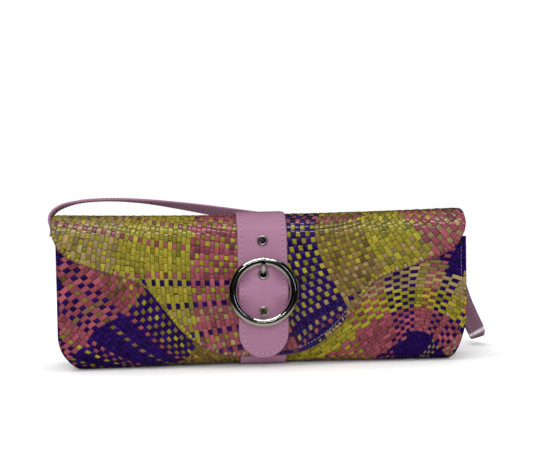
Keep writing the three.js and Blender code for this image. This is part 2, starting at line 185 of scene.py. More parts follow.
@dataclass(frozen=True)
class BagForm:
    """Sizes of the soft bag in mm, and the surfaces that its pieces lie on."""

    height: float = 123.5
    half_width: float = 165.0
    half_depth: float = 28.0
    mouth: float = 101.5
    body_wall: float = 2.0
    base_radius: float = 15.0
    left_taper: float = 14.5
    left_taper_height: float = 28.0
    right_taper: float = 11.5
    right_taper_height: float = 38.0
    right_taper_power: float = 1.6
    left_reach: float = 163.1
    right_reach: float = 166.8
    gusset_seam: float = 3.0
    gusset_wall: float = 1.8
    gusset_top: float = 98.0
    gusset_bow: float = 4.0
    gusset_clear: float = 0.5
    flap_front: float = 31.4
    flap_back: float = 30.1
    flap_wall: float = 1.8
    flap_shoulder: float = 20.0
    flap_back_end: float = 82.0
    flap_end: float = 166.5
    bracket_shift: float = -2.4
    bulge: float = 2.6
    crown_sag: float = 2.4
    sag_from: float = 60.0
    base_arch: float = 1.5
    arch_near: float = 26.0
    arch_far: float = 118.0
    edge_x: tuple[float, ...] = (0, 20, 28.5, 36, 47, 57, 66, 74.4, 82, 89.6, 97, 106, 119.5, 133, 147, 155,
                                 161, 165, 166.5)
    edge_z: tuple[float, ...] = (9, 9.2, 10.5, 12.2, 17.6, 24.8, 33.5, 44.6, 55, 64.6, 69.9, 73.4, 77.7, 82,
                                 87.3, 91.6, 97.8, 105.5, 113)

    @property
    def riser(self) -> float:
        """Height where the flap's front turns into its shoulder."""
        return self.height - self.flap_shoulder

    @property
    def arc(self) -> float:
        """Length of the flap round one shoulder."""
        return self.flap_shoulder * QUARTER_TURN

    @property
    def crown(self) -> float:
        """Length of the flap's flat crown."""
        return self.flap_front + self.flap_back - 2 * self.flap_shoulder

    @property
    def over_crown(self) -> float:
        """Length of the flap from the table line to where its back starts to fall."""
        return self.riser + 2 * self.arc + self.crown

    @property
    def flap_length(self) -> float:
        """Length of the flap from the table line over the crown to its back end."""
        return self.over_crown + self.riser - self.flap_back_end

    @property
    def body_front(self) -> float:
        """Length down the front wall to where the base turn starts."""
        return self.mouth - self.base_radius

    @property
    def body_turn(self) -> float:
        """Length round one base turn."""
        return self.base_radius * QUARTER_TURN

    @property
    def body_middle(self) -> float:
        """Length from the front mouth to the middle of the base."""
        return self.body_front + self.body_turn + self.half_depth - self.base_radius

    def settle(self, x: Points, y: Points, z: Points) -> Points:
        """Swells the walls and lets the crown sag, most in the bag's middle.

        Args:
            x: Places across the bag.
            y: Places through the bag.
            z: Heights.

        Returns:
            Points of the soft form, one row each.
        """
        across = np.maximum(0.0, 1.0 - (x / self.half_width) ** 2)
        up = np.clip(z / self.height, 0.0, 1.0)
        swell = 1.0 + (self.bulge / self.half_depth) * across * 4.0 * up * (1.0 - up)
        sag = self.crown_sag * across * smoothstep(self.sag_from, self.height, z)
        return np.stack([x, y * swell, z - sag], -1)

    def end_half_width(self, z: Points, side: Points) -> Points:
        """Half the body's width at a height.

        Args:
            z: Heights.
            side: Below 0 for the left end, else the right one.

        Returns:
            Half widths.
        """
        left = self.left_taper * np.maximum(0.0, 1.0 - z / self.left_taper_height) ** 2
        lean = np.maximum(0.0, 1.0 - z / self.right_taper_height)
        return self.half_width - np.where(side < 0, left, self.right_taper * lean ** self.right_taper_power)

    def body(self, across: Points, along: Points, inset: Points) -> Points:
        """Points of the body wall.

        Args:
            across: Places across the bag, as at full width.
            along: Lengths from the front mouth, round the base, to the back mouth.
            inset: Depths under the wall's outer face.

        Returns:
            Points in mm.
        """
        across, along, inset = np.broadcast_arrays(np.asarray(across, float), along, inset)
        side = np.where(along > self.body_middle, -1.0, 1.0)
        down = np.where(side > 0, along, 2 * self.body_middle - along)
        turn = np.clip((down - self.body_front) / self.base_radius, 0.0, QUARTER_TURN)
        flat = np.maximum(0.0, down - self.body_front - self.body_turn)
        radius = self.base_radius - inset
        y = self.base_radius - self.half_depth - radius * np.cos(turn) + flat
        rise = np.maximum(0.0, self.body_front - down)
        z = self.base_radius + rise - radius * np.sin(turn)
        outer = self.base_radius + rise - self.base_radius * np.sin(turn)
        x = across / self.half_width * self.end_half_width(outer, across)
        near = smoothstep(self.arch_far, self.arch_near, np.abs(x))
        return self.settle(x, side * y, z + self.base_arch * near * (1.0 - outer / self.mouth))

    def flap(self, across: Points, length: Points, inset: Points) -> Points:
        """Points of the flap.

        Args:
            across: Places across the bag.
            length: Lengths up the front, over the crown and down the back.
            inset: Depths under the flap's outer face.

        Returns:
            Points in mm.
        """
        across, length, inset = np.broadcast_arrays(np.asarray(across, float), length, inset)
        radius = self.flap_shoulder - inset
        front = np.clip((length - self.riser) / self.flap_shoulder, 0.0, QUARTER_TURN)
        top = np.clip(length - self.riser - self.arc, 0.0, self.crown)
        past = length - self.riser - self.arc - self.crown
        back = np.clip(past / self.flap_shoulder, 0.0, QUARTER_TURN)
        y = self.flap_shoulder - self.flap_front - radius * np.cos(front) + top + radius * np.sin(back)
        fall = np.maximum(0.0, past - self.arc)
        z = np.minimum(length, self.riser) + radius * np.sin(front) - radius * (1.0 - np.cos(back)) - fall
        return self.settle(across, y, z)

    def flap_edge(self, across: Points) -> Points:
        """Height of the flap's bracket-shaped lower edge.

        Args:
            across: Places across the bag.

        Returns:
            Lengths up the flap's flat pattern.
        """
        x = np.asarray(across, float)
        share = np.clip(x, -self.flap_end, self.flap_end) / self.flap_end
        shifted = x - self.bracket_shift * (1.0 - share ** 2)
        return np.interp(np.abs(shifted), self.edge_x, self.edge_z)

    def inner_half_depth(self, z: Points) -> Points:
        """Half the space between the front and back walls.

        Args:
            z: Heights.

        Returns:
            Half depths.
        """
        radius = self.base_radius - self.body_wall
        below = np.maximum(0.0, self.base_radius - z)
        return self.half_depth - self.base_radius + np.sqrt(np.maximum(0.0, radius * radius - below * below))

    def gusset(self, side: int, share: Points, z: Points, inset: Points) -> Points:
        """Points of one end wall.

        Args:
            side: -1 for the left end, 1 for the right end.
            share: Places through the bag, from -1 at the front to 1 at the back.
            z: Heights.
            inset: Depths under the wall's outer face.

        Returns:
            Points in mm.
        """
        share, z, inset = np.broadcast_arrays(np.asarray(share, float), z, inset)
        bow = self.gusset_bow * (1.0 - share * share) * np.sin(math.pi * z / self.mouth)
        x = self.end_half_width(z, side) - self.gusset_seam - bow - inset
        return self.settle(side * x, share * (self.inner_half_depth(z) - self.gusset_clear), z)


FORM = BagForm()


def in_scene(name: str, mesh: bpy.types.Mesh, material: Material) -> Piece:
    """Puts a mesh in the scene, as an object at the origin.

    Args:
        name: Name of the piece.
        mesh: Its mesh in metres.
        material: Its finish.

    Returns:
        The new object.
    """
    mesh.materials.append(material)
    obj = bpy.data.objects.new(name, mesh)
    bpy.context.scene.collection.objects.link(obj)
    return obj


def new_object(name: str, bm: Shape, material: Material) -> Piece:
    """Turns a bmesh in mm into a smooth object.

    Args:
        name: Name of the piece.
        bm: Its shape, which is freed.
        material: Its finish.

    Returns:
        The new object.
    """
    bmesh.ops.scale(bm, vec=(MM, MM, MM), verts=bm.verts)
    for face in bm.faces:
        face.smooth = True
    mesh = bpy.data.meshes.new(name)
    bm.to_mesh(mesh)
    bm.free()
    return in_scene(name, mesh, material)


def mesh_from_arrays(name: str, verts: Points, faces: list, material: Material,
                     colours: Points | None = None, uvs: Points | None = None) -> Piece:
    """Makes one joined mesh of many repeated small shapes.

    Args:
        name: Name of the piece.
        verts: Points in mm.
        faces: Corner numbers of each face.
        material: Its finish.
        colours: A colour for each point, or None.
        uvs: A pair for each point, or None.

    Returns:
        The new object.
    """
    mesh = bpy.data.meshes.new(name)
    mesh.from_pydata((verts * MM).tolist(), [], faces)
    mesh.shade_smooth()
    if colours is not None:
        layer = mesh.attributes.new(DYE_LAYER, "FLOAT_COLOR", "POINT")
        layer.data.foreach_set("color", colours.astype(np.float32).ravel())
    if uvs is not None:
        corner = np.empty(len(mesh.loops), np.int32)
        mesh.loops.foreach_get("vertex_index", corner)
        layer = mesh.uv_layers.new(name=STRIP_MAP)
        layer.data.foreach_set("uv", uvs[corner].astype(np.float32).ravel())
    mesh.validate()
    return in_scene(name, mesh, material)


def grid_sheet(bm: Shape, columns: int, rows: int, place: Sheet) -> None:
    """Adds a grid and lays it on a surface.

    Args:
        bm: Shape that takes the grid.
        columns: Cells along the first share.
        rows: Cells along the second share.
        place: Gives the points for shares from 0 to 1.
    """
    made = bmesh.ops.create_grid(bm, x_segments=columns, y_segments=rows, size=0.5)["verts"]
    shares = np.array([vert.co[:2] for vert in made]) + 0.5
    for vert, point in zip(made, place(shares[:, 0], shares[:, 1])):
        vert.co = point


def walled(columns: int, rows: int, outer: Sheet, inner: Sheet, holes: tuple[Vector, ...] = (),
           hole_radius: float = 0.0) -> Shape:
    """Makes a closed wall between two sheets.

    Args:
        columns: Cells along the first share.
        rows: Cells along the second share.
        outer: Gives the outer face's points for two shares.
        inner: Gives the inner face's points for two shares.
        holes: Points in mm round which the wall is cut through.
        hole_radius: Radius of those holes.

    Returns:
        The wall.
    """
    bm = bmesh.new()
    for place in (outer, inner):
        grid_sheet(bm, columns, rows, place)
    cut = [face for face in bm.faces
           if any((face.calc_center_median() - centre).length < hole_radius for centre in holes)]
    bmesh.ops.delete(bm, geom=cut, context="FACES")
    rims = [[] for _ in range(len(holes) + 1)]
    for edge in bm.edges:
        if edge.is_boundary:
            middle = (edge.verts[0].co + edge.verts[1].co) / 2
            near = [k for k, centre in enumerate(holes) if (middle - centre).length < 2.0 * hole_radius]
            rims[near[0] if near else -1].append(edge)
    for rim in rims:
        bmesh.ops.bridge_loops(bm, edges=rim)
    bmesh.ops.recalc_face_normals(bm, faces=bm.faces)
    return bm


def section_loft(rings: int, corners: int, place: Sheet) -> Shape:
    """Lays a closed section along a line and closes its ends.

    Args:
        rings: Steps along the line.
        corners: Points round the section.
        place: Gives the points for shares along and round.

    Returns:
        The loft.
    """
    bm = bmesh.new()
    grid_sheet(bm, rings, corners, place)
    bmesh.ops.remove_doubles(bm, verts=bm.verts, dist=0.0005)
    ends = [edge for edge in bm.edges if edge.is_boundary]
    bmesh.ops.holes_fill(bm, edges=ends, sides=0)
    bmesh.ops.recalc_face_normals(bm, faces=bm.faces)
    return bm


def spin_round(bm: Shape, steps: int) -> None:
    """Spins a section all the way round the Y axis.

    Args:
        bm: Shape that holds the section alone.
        steps: Steps of the spin.
    """
    bmesh.ops.spin(bm, geom=bm.verts[:] + bm.edges[:], cent=(0, 0, 0), axis=(0, 1, 0), dvec=(0, 0, 0),
                   angle=2 * math.pi, steps=steps, use_merge=True)
    bmesh.ops.remove_doubles(bm, verts=bm.verts, dist=0.001)
    bmesh.ops.recalc_face_normals(bm, faces=bm.faces)


def add_rod(bm: Shape, radius: float, length: float, segments: int, turn_axis: str, place: Triple) -> None:
    """Adds a round rod with closed ends.

    Args:
        bm: Shape that takes the rod.
        radius: Its radius.
        length: Its length.
        segments: Its sides.
        turn_axis: Axis about which the upright rod is laid down.
        place: Its middle.
    """
    made = bmesh.ops.create_cone(bm, cap_ends=True, segments=segments, radius1=radius, radius2=radius,
                                 depth=length)["verts"]
    bmesh.ops.rotate(bm, verts=made, cent=(0, 0, 0), matrix=Matrix.Rotation(QUARTER_TURN, 3, turn_axis))
    bmesh.ops.translate(bm, verts=made, vec=place)


def feed(tree: Tree, socket: Socket, value: object) -> None:
    """Links another node's output to an input, or sets a value on it.

    Args:
        tree: Tree of the nodes.
        socket: The input.
        value: The output or the value.
    """
    if isinstance(value, Socket):
        tree.links.new(value, socket)
    else:
        socket.default_value = value


def wire(tree: Tree, node: Node, **inputs: object) -> Node:
    """Fills a node's inputs by name.

    Args:
        tree: Tree of the node.
        node: The node.
        inputs: Input names with _ for spaces, and what each gets.

    Returns:
        The node.
    """
    for name, value in inputs.items():
        feed(tree, node.inputs[name.replace("_", " ")], value)
    return node


def linked(tree: Tree, kind: str, **inputs: object) -> Node:
    """Adds a shader node and fills its inputs by name."""
    return wire(tree, tree.nodes.new(kind), **inputs)


def math_node(tree: Tree, operation: str, *values: object) -> Socket:
    """Adds a math node.

    Args:
        tree: Tree that takes the node.
        operation: Blender's name of the sum.
        values: Its numbers or other nodes' outputs.

    Returns:
        Its output.
    """
    node = tree.nodes.new("ShaderNodeMath")
    node.operation = operation
    for socket, value in zip(node.inputs, values):
        feed(tree, socket, value)
    return node.outputs[0]


def swung(tree: Tree, mask: Socket, mean: float, reach: float) -> Socket:
    """Lets a value swing about its mean by a mask from 0 to 1."""
    return math_node(tree, "MULTIPLY_ADD", mask, reach, mean - reach / 2)


def mixed(tree: Tree, blend: str, factor: object, first: object, second: object) -> Socket:
    """Adds a colour mix.

    Args:
        tree: Tree that takes the node.
        blend: Blender's name of the blend.
        factor: Share of the second colour.
        first: First colour.
        second: Second colour.

    Returns:
        Its output.
    """
    node = tree.nodes.new("ShaderNodeMix")
    node.data_type = "RGBA"
    node.blend_type = blend
    for k, value in ((0, factor), (6, first), (7, second)):
        feed(tree, node.inputs[k], value)
    return node.outputs[2]


def attribute(tree: Tree, name: str) -> Node:
    """Adds a node that reads one of the piece's own attributes.

    Args:
        tree: Tree that takes the node.
        name: Name of the attribute.

    Returns:
        The node.
    """
    node = tree.nodes.new("ShaderNodeAttribute")
    node.attribute_name = name
    return node


class SharedGroup:
    """A shader node group that is built once and placed in each material that uses it."""

    name = ""
    sockets_in: tuple[str, ...] = ()
    sockets_out: tuple[str, ...] = ()

    @classmethod
    def fill(cls, tree: Tree, entry: Node, leave: Node) -> None:
        """Adds the group's own nodes between its inputs and its outputs."""
        raise NotImplementedError

    @classmethod
    def node(cls, tree: Tree) -> Node:
        """Places the group in a material, and builds it at its first use.

        Args:
            tree: The material's tree.

        Returns:
            The group's node there.
        """
        group = bpy.data.node_groups.get(cls.name)
        if not group:
            group = bpy.data.node_groups.new(cls.name, "ShaderNodeTree")
            for names, way in ((cls.sockets_in, "INPUT"), (cls.sockets_out, "OUTPUT")):
                for name in names:
                    group.interface.new_socket(name, in_out=way, socket_type="NodeSocketFloat")
            cls.fill(group, group.nodes.new("NodeGroupInput"), group.nodes.new("NodeGroupOutput"))
        node = tree.nodes.new("ShaderNodeGroup")
        node.node_tree = group
        return node


class Grain(SharedGroup):
    """Fine surface grain that leather, metal and floor share."""

    name = "fine_grain"
    sockets_in = ("Scale",)
    sockets_out = ("Mask", "Height")

    @classmethod
    def fill(cls, tree: Tree, entry: Node, leave: Node) -> None:
        """Adds soft clouds as the mask and pores as the height.

        Args:
            tree: The group.
            entry: Its inputs.
            leave: Its outputs.
        """
        place = tree.nodes.new("ShaderNodeTexCoord").outputs["Object"]
        pores = linked(tree, "ShaderNodeTexVoronoi", Vector=place, Scale=entry.outputs["Scale"])
        cloud = linked(tree, "ShaderNodeTexNoise", Vector=place, Scale=60.0, Detail=4.0)
        wire(tree, leave, Mask=cloud.outputs["Fac"], Height=pores.outputs["Distance"])


class Fibre(SharedGroup):
    """Long fibres of an abaca strip, read along its own map."""

    name = "abaca_fibre"
    sockets_out = ("Streak", "Height", "Edge")

    @classmethod
    def fill(cls, tree: Tree, entry: Node, leave: Node) -> None:
        """Adds broad streaks, fine threads as the height, and the distance from the strip's middle.

        Args:
            tree: The group.
            entry: Its inputs, of which there are none.
            leave: Its outputs.
        """
        strip = tree.nodes.new("ShaderNodeUVMap")
        strip.uv_map = STRIP_MAP
        place = strip.outputs["UV"]
        noises = []
        for scale, detail in (((7.0, 0.35, 1.0), 3.0), ((22.0, 0.6, 1.0), 2.0)):
            stretch = linked(tree, "ShaderNodeMapping", Vector=place, Scale=scale)
            noise = linked(tree, "ShaderNodeTexNoise", Vector=stretch.outputs[0], Scale=1.0, Detail=detail)
            noises.append(noise.outputs["Fac"])
        share = linked(tree, "ShaderNodeSeparateXYZ", Vector=place)
        across = math_node(tree, "FRACT", share.outputs["X"])
        edge = math_node(tree, "ABSOLUTE", math_node(tree, "SUBTRACT", across, 0.5))
        wire(tree, leave, Streak=noises[0], Height=noises[1], Edge=edge)


@dataclass(frozen=True)
class Finish:
    """A material of the bag."""

    name: str

    def dress(self, tree: Tree, shader: Node) -> None:
        """Feeds the shader."""
        raise NotImplementedError

    def make(self) -> Material:
        """Builds the material.

        Returns:
            The material.
        """
        material = bpy.data.materials.new(self.name)
        material.use_nodes = True
        self.dress(material.node_tree, material.node_tree.nodes["Principled BSDF"])
        return material


@dataclass(frozen=True)
class WovenFinish(Finish):
    """Lacquered abaca strips in their dyed colours."""

    name: str = "woven_abaca"
    roughness: float = 0.2
    gloss: float = 0.5
    streaks: float = 0.9
    rough_streaks: float = 0.22
    edge_shade: float = 0.6

    def dress(self, tree: Tree, shader: Node) -> None:
        """Feeds the shader with the dye, the fibres and the strips' darker edges.

        Args:
            tree: The material's tree.
            shader: Its shader.
        """
        fibre = Fibre.node(tree).outputs
        dye = attribute(tree, DYE_LAYER).outputs["Color"]
        shade = mixed(tree, "MULTIPLY", 1.0, dye, swung(tree, fibre["Streak"], 1.0, self.streaks))
        fade = math_node(tree, "MULTIPLY_ADD", fibre["Edge"], -3.2, 2.2)
        edge = math_node(tree, "SMOOTH_MIN", fade, 1.0, 0.1)
        bump = linked(tree, "ShaderNodeBump", Strength=0.25, Distance=0.00008, Height=fibre["Height"])
        wire(tree, shader, Base_Color=mixed(tree, "MULTIPLY", self.edge_shade, shade, edge),
             Roughness=swung(tree, fibre["Streak"], self.roughness, self.rough_streaks),
             Specular_IOR_Level=self.gloss, Normal=bump.outputs["Normal"])


@dataclass(frozen=True)
class LeatherFinish(Finish):
    """Smooth coloured leather or facing with a fine grain."""

    name: str = "pink_leather"
    colour: Triple = (0.279, 0.134, 0.210)
    shade: Triple = (0.24, 0.112, 0.178)
    roughness: float = 0.46
    pores: float = 2600.0
    gloss: float = 0.2
    rough_clouds: float = 0.16

    def wear_and_painted_light(self, tree: Tree, colour: Socket) -> Socket:
        """Leaves the colour as it is: plain leather shows no wear."""
        return colour

    def dress(self, tree: Tree, shader: Node) -> None:
        """Feeds the shader with the clouded colour and the grain.

        Args:
            tree: The material's tree.
            shader: Its shader.
        """
        grain = wire(tree, Grain.node(tree), Scale=self.pores).outputs
        colour = mixed(tree, "MIX", grain["Mask"], (*self.shade, 1.0), (*self.colour, 1.0))
        bump = linked(tree, "ShaderNodeBump", Strength=0.18, Distance=0.00006, Height=grain["Height"])
        wire(tree, shader, Base_Color=self.wear_and_painted_light(tree, colour),
             Roughness=swung(tree, grain["Mask"], self.roughness, self.rough_clouds),
             Specular_IOR_Level=self.gloss, Normal=bump.outputs["Normal"])


@dataclass(frozen=True)
class StrapLeather(LeatherFinish):
    """Leather of the shoulder strap, with painted shade along its hanging end and a pale crease of painted
    highlight and wear.
    """

    name: str = "strap_leather"
    # Multiplier of the painted shade on the strap's hanging end.
    painted_shade: Triple = (0.56, 0.56, 0.54)
    # Pale colour of the crease in the lowest bend: painted highlight and wear.
    crease: Triple = (0.66, 0.62, 0.64)

    def wear_and_painted_light(self, tree: Tree, colour: Socket) -> Socket:
        """Paints shade on the hanging end, and a pale crease of painted highlight and wear, by the strap's
        own attributes.

        Args:
            tree: The material's tree.
            colour: The plain leather's colour.

        Returns:
            The colour with the painted shade and the crease's painted highlight and wear.
        """
        # Painted shade darkens the hanging end; the crease gets a painted highlight and wear.
        painted_shade, crease = (attribute(tree, name).outputs["Fac"] for name in ("painted_shade", "crease"))
        dark = mixed(tree, "MULTIPLY", painted_shade, colour, (*self.painted_shade, 1.0))
        return mixed(tree, "MIX", crease, dark, (*self.crease, 1.0))


@dataclass(frozen=True)
class FloorFinish(LeatherFinish):
    """White floor, which glossy surfaces mirror as a cream that fades out away from the bag."""

    name: str = "pale_floor"
    colour: Triple = (0.97, 0.97, 0.97)
    shade: Triple = (0.97, 0.97, 0.97)
    roughness: float = 0.9
    pores: float = 30.0
    gloss: float = 0.0
    mirrored: Triple = (0.42, 0.40, 0.33)
    mirrored_far: Triple = (0.004, 0.004, 0.004)
    fade: Pair = (0.085, 0.17)

    def wear_and_painted_light(self, tree: Tree, colour: Socket) -> Socket:
        """Gives glossy rays the duller colour.

        Args:
            tree: The material's tree.
            colour: The floor's colour.

        Returns:
            The colour that each kind of ray sees.
        """
        place = tree.nodes.new("ShaderNodeTexCoord").outputs["Object"]
        reach = linked(tree, "ShaderNodeVectorMath", Vector=place)
        reach.operation = "LENGTH"
        near, far = self.fade
        share = linked(tree, "ShaderNodeMapRange", Value=reach.outputs["Value"], From_Min=near, From_Max=far)
        dull = mixed(tree, "MIX", share.outputs[0], (*self.mirrored, 1.0), (*self.mirrored_far, 1.0))
        ray = tree.nodes.new("ShaderNodeLightPath")
        return mixed(tree, "MIX", ray.outputs["Is Glossy Ray"], colour, dull)


@dataclass(frozen=True)
class ChromeFinish(Finish):
    """Polished plated metal with faint smears."""

    name: str = "polished_chrome"
    colour: Triple = (0.74, 0.74, 0.72)
    roughness: float = 0.1
    smears: float = 0.04
    pores: float = 300.0

    def dress(self, tree: Tree, shader: Node) -> None:
        """Feeds the shader with the plating and its smears.

        Args:
            tree: The material's tree.
            shader: Its shader.
        """
        grain = wire(tree, Grain.node(tree), Scale=self.pores).outputs
        wire(tree, shader, Base_Color=(*self.colour, 1.0), Metallic=1.0,
             Roughness=swung(tree, grain["Mask"], self.roughness, self.smears))


@dataclass(frozen=True)
class ThreadFinish(Finish):
    """Sewing thread with a twist."""

    colour: Triple = WHITE
    dark: float = 0.7

    def dress(self, tree: Tree, shader: Node) -> None:
        """Feeds the shader with the twisted colour.

        Args:
            tree: The material's tree.
            shader: Its shader.
        """
        place = tree.nodes.new("ShaderNodeTexCoord").outputs["Object"]
        twist = linked(tree, "ShaderNodeTexNoise", Vector=place, Scale=1800.0, Detail=2.0)
        dark = (*(self.dark * part for part in self.colour), 1.0)
        wire(tree, shader, Base_Color=mixed(tree, "MIX", twist.outputs["Fac"], dark, (*self.colour, 1.0)),
             Roughness=0.6)


@dataclass
class Finishes:
    """All the finishes of the bag, made once."""

    woven: Material = field(default_factory=WovenFinish().make)
    body_woven: Material = field(default_factory=WovenFinish("woven_abaca_body", 0.28, 0.16).make)
    # Near-black backing under the strips: painted shade in the gaps between them.
    backing: Material = field(default_factory=LeatherFinish(
        "strip_backing_painted_shade", (0.016, 0.006, 0.024), (0.009, 0.004, 0.014), 0.7, 900.0).make)
    leather: Material = field(default_factory=LeatherFinish().make)
    strap_leather: Material = field(default_factory=StrapLeather().make)
    lining: Material = field(default_factory=LeatherFinish(
        "mauve_facing", (0.15, 0.064, 0.09), (0.112, 0.045, 0.068), 0.6, 1800.0).make)
    chrome: Material = field(default_factory=ChromeFinish().make)
    nickel: Material = field(default_factory=ChromeFinish("eyelet_nickel", (0.60, 0.60, 0.56), 0.36).make)
    pink_thread: Material = field(default_factory=ThreadFinish("pink_thread", (0.43, 0.265, 0.35)).make)
    pale_thread: Material = field(default_factory=ThreadFinish("pale_thread", (0.34, 0.30, 0.36)).make)
    # Needle holes are dark marks: painted shade in the holes.
    needle_hole_shade: Material = field(default_factory=ThreadFinish("needle_hole_shade", (0.07, 0.02, 0.04)).make)


@dataclass(frozen=True)
class Lattice:
    """Layout of two crossing sets of strips on a panel.

    Attributes:
        terms: Powers that place a crossing on the panel.
        columns: First and last column.
        rows: First and last row.
        column_bands: Colours of the columns from the first one on.
        row_bands: Colours of the rows from the first one on.
        keep: Tells which crossings, by their place on the panel, belong to this layout.
        over: 0 where a column lies on top at even crossings, 1 at odd ones.
        bent_columns: Columns past which the layout goes straight on.
        bent_rows: Rows past which the layout goes straight on.
        slip_rows: Rows where the columns slip along the rows.
        slips: How many columns they slip there.
        patches: Stretches of other colours.
        cell_areas: Least and most area of a crossing in square mm, past which it is folded or torn.
    """

    terms: tuple[Term, ...]
    columns: tuple[int, int]
    rows: tuple[int, int]
    column_bands: tuple[Band, ...]
    row_bands: tuple[Band, ...]
    keep: Sheet
    over: int = 0
    bent_columns: Pair = (-99.0, 99.0)
    bent_rows: Pair = (-99.0, 99.0)
    slip_rows: tuple[float, ...] = (0.0,)
    slips: tuple[float, ...] = (0.0,)
    patches: tuple[Patch, ...] = ()
    cell_areas: Pair = (4.0, 80.0)

    def powers(self, i: Points, j: Points) -> tuple[Points, Points]:
        """Sums the power terms at a crossing."""
        parts = [(i ** term.i * j ** term.j, term) for term in self.terms]
        return sum(p * t.across for p, t in parts), sum(p * t.along for p, t in parts)

    def place(self, i: Points, j: Points) -> tuple[Points, Points]:
        """Places crossings on the panel.

        Args:
            i: Columns, with parts of a column.
            j: Rows, with parts of a row.

        Returns:
            Places across and along the panel in mm.
        """
        i = i + np.interp(j, self.slip_rows, self.slips)
        near_i, near_j = np.clip(i, *self.bent_columns), np.clip(j, *self.bent_rows)
        past_i, past_j = i - near_i, j - near_j
        here = self.powers(near_i, near_j)
        back_i = self.powers(near_i - 0.5 * np.sign(past_i), near_j)
        back_j = self.powers(near_i, near_j - 0.5 * np.sign(past_j))
        return tuple(a + 2.0 * (a - b) * np.abs(past_i) + 2.0 * (a - c) * np.abs(past_j)
                     for a, b, c in zip(here, back_i, back_j))

    def crossings(self) -> tuple[Points, Points]:
        """Finds the crossings that belong to this layout and aren't folded or torn.

        Returns:
            Their columns and rows.
        """
        spans = [np.arange(first, last + 1) for first, last in (self.columns, self.rows)]
        i, j = (part.ravel() for part in np.meshgrid(*spans, indexing="ij"))
        (ua, va), (ub, vb) = (self.place(i + half, j + 0.0) for half in (0.5, -0.5))
        (uc, vc), (ud, vd) = (self.place(i + 0.0, j + half) for half in (0.5, -0.5))
        area = np.abs((ua - ub) * (vc - vd) - (va - vb) * (uc - ud))
        least, most = self.cell_areas
        chosen = self.keep(*self.place(i + 0.0, j + 0.0)) & (area > least) & (area < most)
        return i[chosen], j[chosen]

    @staticmethod
    def dyes(chart: tuple[Band, ...], count: int) -> Points:
        """Colour of each strip, with the last band going on to the end.

        Args:
            chart: Runs of strips.
            count: How many strips there are.

        Returns:
            One RGB row for each strip.
        """
        runs = [band.colour for band in chart for _ in range(band.count)]
        runs += [chart[-1].colour] * max(0, count - len(runs))
        return dye_rows(runs[:count])

    def strip_dyes(self, i: Points, j: Points) -> tuple[Points, Points]:
        """Colours of the two strips that cross.

        Args:
            i: Columns of the crossings.
            j: Rows of the crossings.

        Returns:
            An RGB row for the column's strip and one for the row's strip at each crossing.
        """
        (first_i, last_i), (first_j, last_j) = self.columns, self.rows
        columns = self.dyes(self.column_bands, last_i - first_i + 1)[i - first_i]
        rows = self.dyes(self.row_bands, last_j - first_j + 1)[j - first_j]
        for patch in self.patches:
            (low_i, high_i), (low_j, high_j) = patch.columns, patch.rows
            reached = (i >= low_i) & (i <= high_i) & (j >= low_j) & (j <= high_j)
            if patch.strips is not Strips.ROWS:
                columns[reached] = patch.colour.value
            if patch.strips is not Strips.COLUMNS:
                rows[reached] = patch.colour.value
        return columns, rows


@dataclass(frozen=True)
class PadShape:
    """Form of one strip between two crossings: heights in mm, half sizes in columns and rows."""

    crown: float = 0.76
    dive: float = 0.22
    edge: float = 0.24
    arch: float = 2.6
    tilt: float = 0.14
    lift: float = 0.05
    jitter: float = 0.022
    rim_shade: float = 0.68
    tone: float = 0.22
    tone_limits: Pair = (0.58, 1.62)
    tint: float = 0.035
    column_half: Pair = (0.54, 0.76)
    row_half: Pair = (0.385, 0.63)
    along: tuple[float, ...] = (-1.0, -0.7, 0.0, 0.7, 1.0)
    across: tuple[float, ...] = (-1.0, -0.8, 0.8, 1.0)

    def template(self) -> tuple[Points, Points, list]:
        """Grid of one pad, closed underneath.

        Returns:
            Places along and across from -1 to 1, and the faces.
        """
        s, t = np.meshgrid(self.along, self.across, indexing="ij")
        corner = np.arange(s.size).reshape(s.shape)
        quads = np.stack([corner[:-1, :-1], corner[1:, :-1], corner[1:, 1:], corner[:-1, 1:]], -1)
        sides = (corner[:-1, 0], corner[-1, :-1], corner[:0:-1, -1], corner[0, :0:-1])
        rim = np.concatenate(sides)[::-1]
        return s.ravel(), t.ravel(), [*quads.reshape(-1, 4).tolist(), rim.tolist()]

    def shade(self, s: Points, t: Points) -> Points:
        """Lightness of a pad's points: dark at its rim, where it lies in its neighbours' shade."""
        return 1.0 - self.rim_shade * np.maximum(np.abs(s), np.abs(t)) ** 9


HEM_PAD = PadShape(along=(-1.0, -0.55, 0.55, 1.0), across=(-1.0, -0.8, -0.4, 0.1, 0.6, 1.0))


